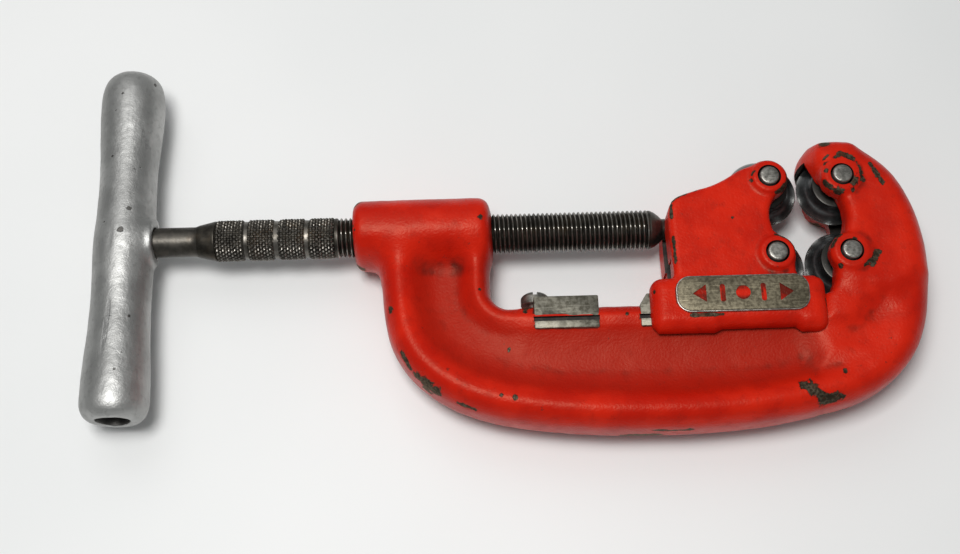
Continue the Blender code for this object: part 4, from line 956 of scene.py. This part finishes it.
for side, x, body in (("hook", HOOK_X, "frame"), ("slide", SLIDE_X, "slide")):
    for level, y in zip(("upper", "lower"), PAIR_Y):
        wheel = turned("wheel", wheel_profile, 128, "Z", (x, y, 0),
                       lambda r, h, t: 0.03 * math.sin(7 * t) * (r > 16.5) + 0.04 * math.sin(3 * t + 1) * (8 < r < 13))
        wc = coordinates(wheel.data)
        rr = np.hypot(wc[:, 0] - x, wc[:, 1] - y)
        attribute(wheel.data, "rim", np.clip((rr - 15.4) / 0.4, 0, 1) + 0.3 * np.exp(-((rr - 13.9) / 0.25) ** 2))
        # seat marks the hub face inside the bevel, which the wheel shader darkens as painted shade
        attribute(wheel.data, "seat", np.clip((11.3 - rr) / 0.4, 0, 1))
        make(wheel, f"{side}_{level}_wheel_blade", f"{side}_{level}_wheel", f"{side}_{level}_cutter_wheel",
             (wheel_steel,), 24)
        pin = turned("pin", pin_profile, 48, "Z", (x, y, 0))
        make(pin, f"{side}_{level}_pin_turned", body, f"{side}_{level}_wheel_pin", (pin_steel,), 40)

dome = [(0.0, STOP_TOP)] + [(STOP_HEAD_R * math.sin(math.radians(a)), STOP_TOP - 3.4 + 3.4 * math.cos(math.radians(a)))
                            for a in range(8, 91, 8)]
stop = turned("stop", dome + [(STOP_HEAD_R, STOP_SEAT + GAP + 0.4), (STOP_HEAD_R - 0.4, STOP_SEAT + GAP),
                              (STOP_SHANK_R, STOP_SEAT + GAP), (STOP_SHANK_R, STOP_SEAT - 14.0),
                              (STOP_SHANK_R - 1.0, STOP_SEAT - 15.0), (0.0, STOP_SEAT - 15.0)], 64, "Y", (STOP_X, 0, 0))
merge(stop, block("driver_slot", STOP_X - 1.05, STOP_X + 1.05, STOP_TOP - 2.8, STOP_TOP + 2.0, -10.0, 10.0), "DIFFERENCE")
stop = soften(stop, 0.18, 2, 50)
make(stop, "stop_screw_turned", "frame", "slide_stop_screw", (stop_steel,), 30)

for name, mat in (("handle_drive_pin", pin_steel), ("hook_upper_pin_clip", clip_steel), ("hook_lower_pin_clip", clip_steel),
                  ("slide_upper_pin_clip", clip_steel), ("slide_lower_pin_clip", clip_steel)):
    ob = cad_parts[name]
    ob.data.materials.clear()
    ob.data.materials.append(mat)

# ---------------------------------------------------------------- floor, lights and camera
bm = bmesh.new()
bmesh.ops.create_grid(bm, x_segments=2, y_segments=2, size=3.0)
mesh = bpy.data.meshes.new("floor")
bm.to_mesh(mesh)
bm.free()
floor = bpy.data.objects.new("floor", mesh)
floor.location.z = -0.0001
bpy.context.scene.collection.objects.link(floor)
n = Nodes("pale_table")
tone = n.noise(3.0, 3, 0.5)
mesh.materials.append(n.done(n.mix(n.ramp(tone, 0.3, 0.7), (0.80, 0.81, 0.81), (0.86, 0.865, 0.865)), 0.55, 0.0))

world = bpy.data.worlds.new("studio")
bpy.context.scene.world = world
world.use_nodes = True
world.node_tree.nodes["Background"].inputs[0].default_value = (0.97, 1.0, 1.0, 1.0)
world.node_tree.nodes["Background"].inputs[1].default_value = 0.225


def lamp(name, where, target, size, power, colour=(1, 1, 1), size_y=None):
    light = bpy.data.lights.new(name, "AREA")
    light.energy = power
    light.color = colour
    light.size = size
    if size_y:
        light.shape = "RECTANGLE"
        light.size_y = size_y
    ob = bpy.data.objects.new(name, light)
    bpy.context.scene.collection.objects.link(ob)
    ob.location = where
    ob.rotation_mode = "QUATERNION"
    ob.rotation_quaternion = (Vector(target) - Vector(where)).to_track_quat("-Z", "Y")
    return ob


lamp("key", (-0.17, -0.09, 1.15), (-0.05, 0.0, 0.0), 0.36, 9.6, (1.0, 0.995, 0.98))
lamp("fill", (-0.35, 0.65, 1.1), (0.0, 0.0, 0.0), 0.9, 2.2)

F, ELEV, AZ, ROLL, DIST, TX, TY = 1348.2, 69.88, -1.773, 0.126, 632.25, -231.885, -21.46
a, e, roll = math.radians(AZ), math.radians(ELEV), math.radians(ROLL)
back_v = Vector((math.sin(a) * math.cos(e), -math.cos(a) * math.cos(e), math.sin(e)))
right_v = Vector((math.cos(a), math.sin(a), 0.0))
up_v = back_v.cross(right_v)
right_r = right_v * math.cos(roll) + up_v * math.sin(roll)
up_r = up_v * math.cos(roll) - right_v * math.sin(roll)
CAMERA = Vector((TX + 228.0, TY, 0.0)) + back_v * DIST
camera_data = bpy.data.cameras.new("camera")
camera_data.sensor_width = 36.0
camera_data.lens = F / 960 * 36.0
camera_data.clip_start, camera_data.clip_end = 0.01, 20.0
camera = bpy.data.objects.new("camera", camera_data)
bpy.context.scene.collection.objects.link(camera)
place = TO_ROW @ CAMERA
camera.matrix_world = Matrix(((right_r.x, up_r.x, back_v.x, place.x), (right_r.y, up_r.y, back_v.y, place.y),
                              (right_r.z, up_r.z, back_v.z, place.z), (0, 0, 0, 1)))
bpy.context.scene.camera = camera
bpy.context.scene.view_settings.view_transform = "Standard"
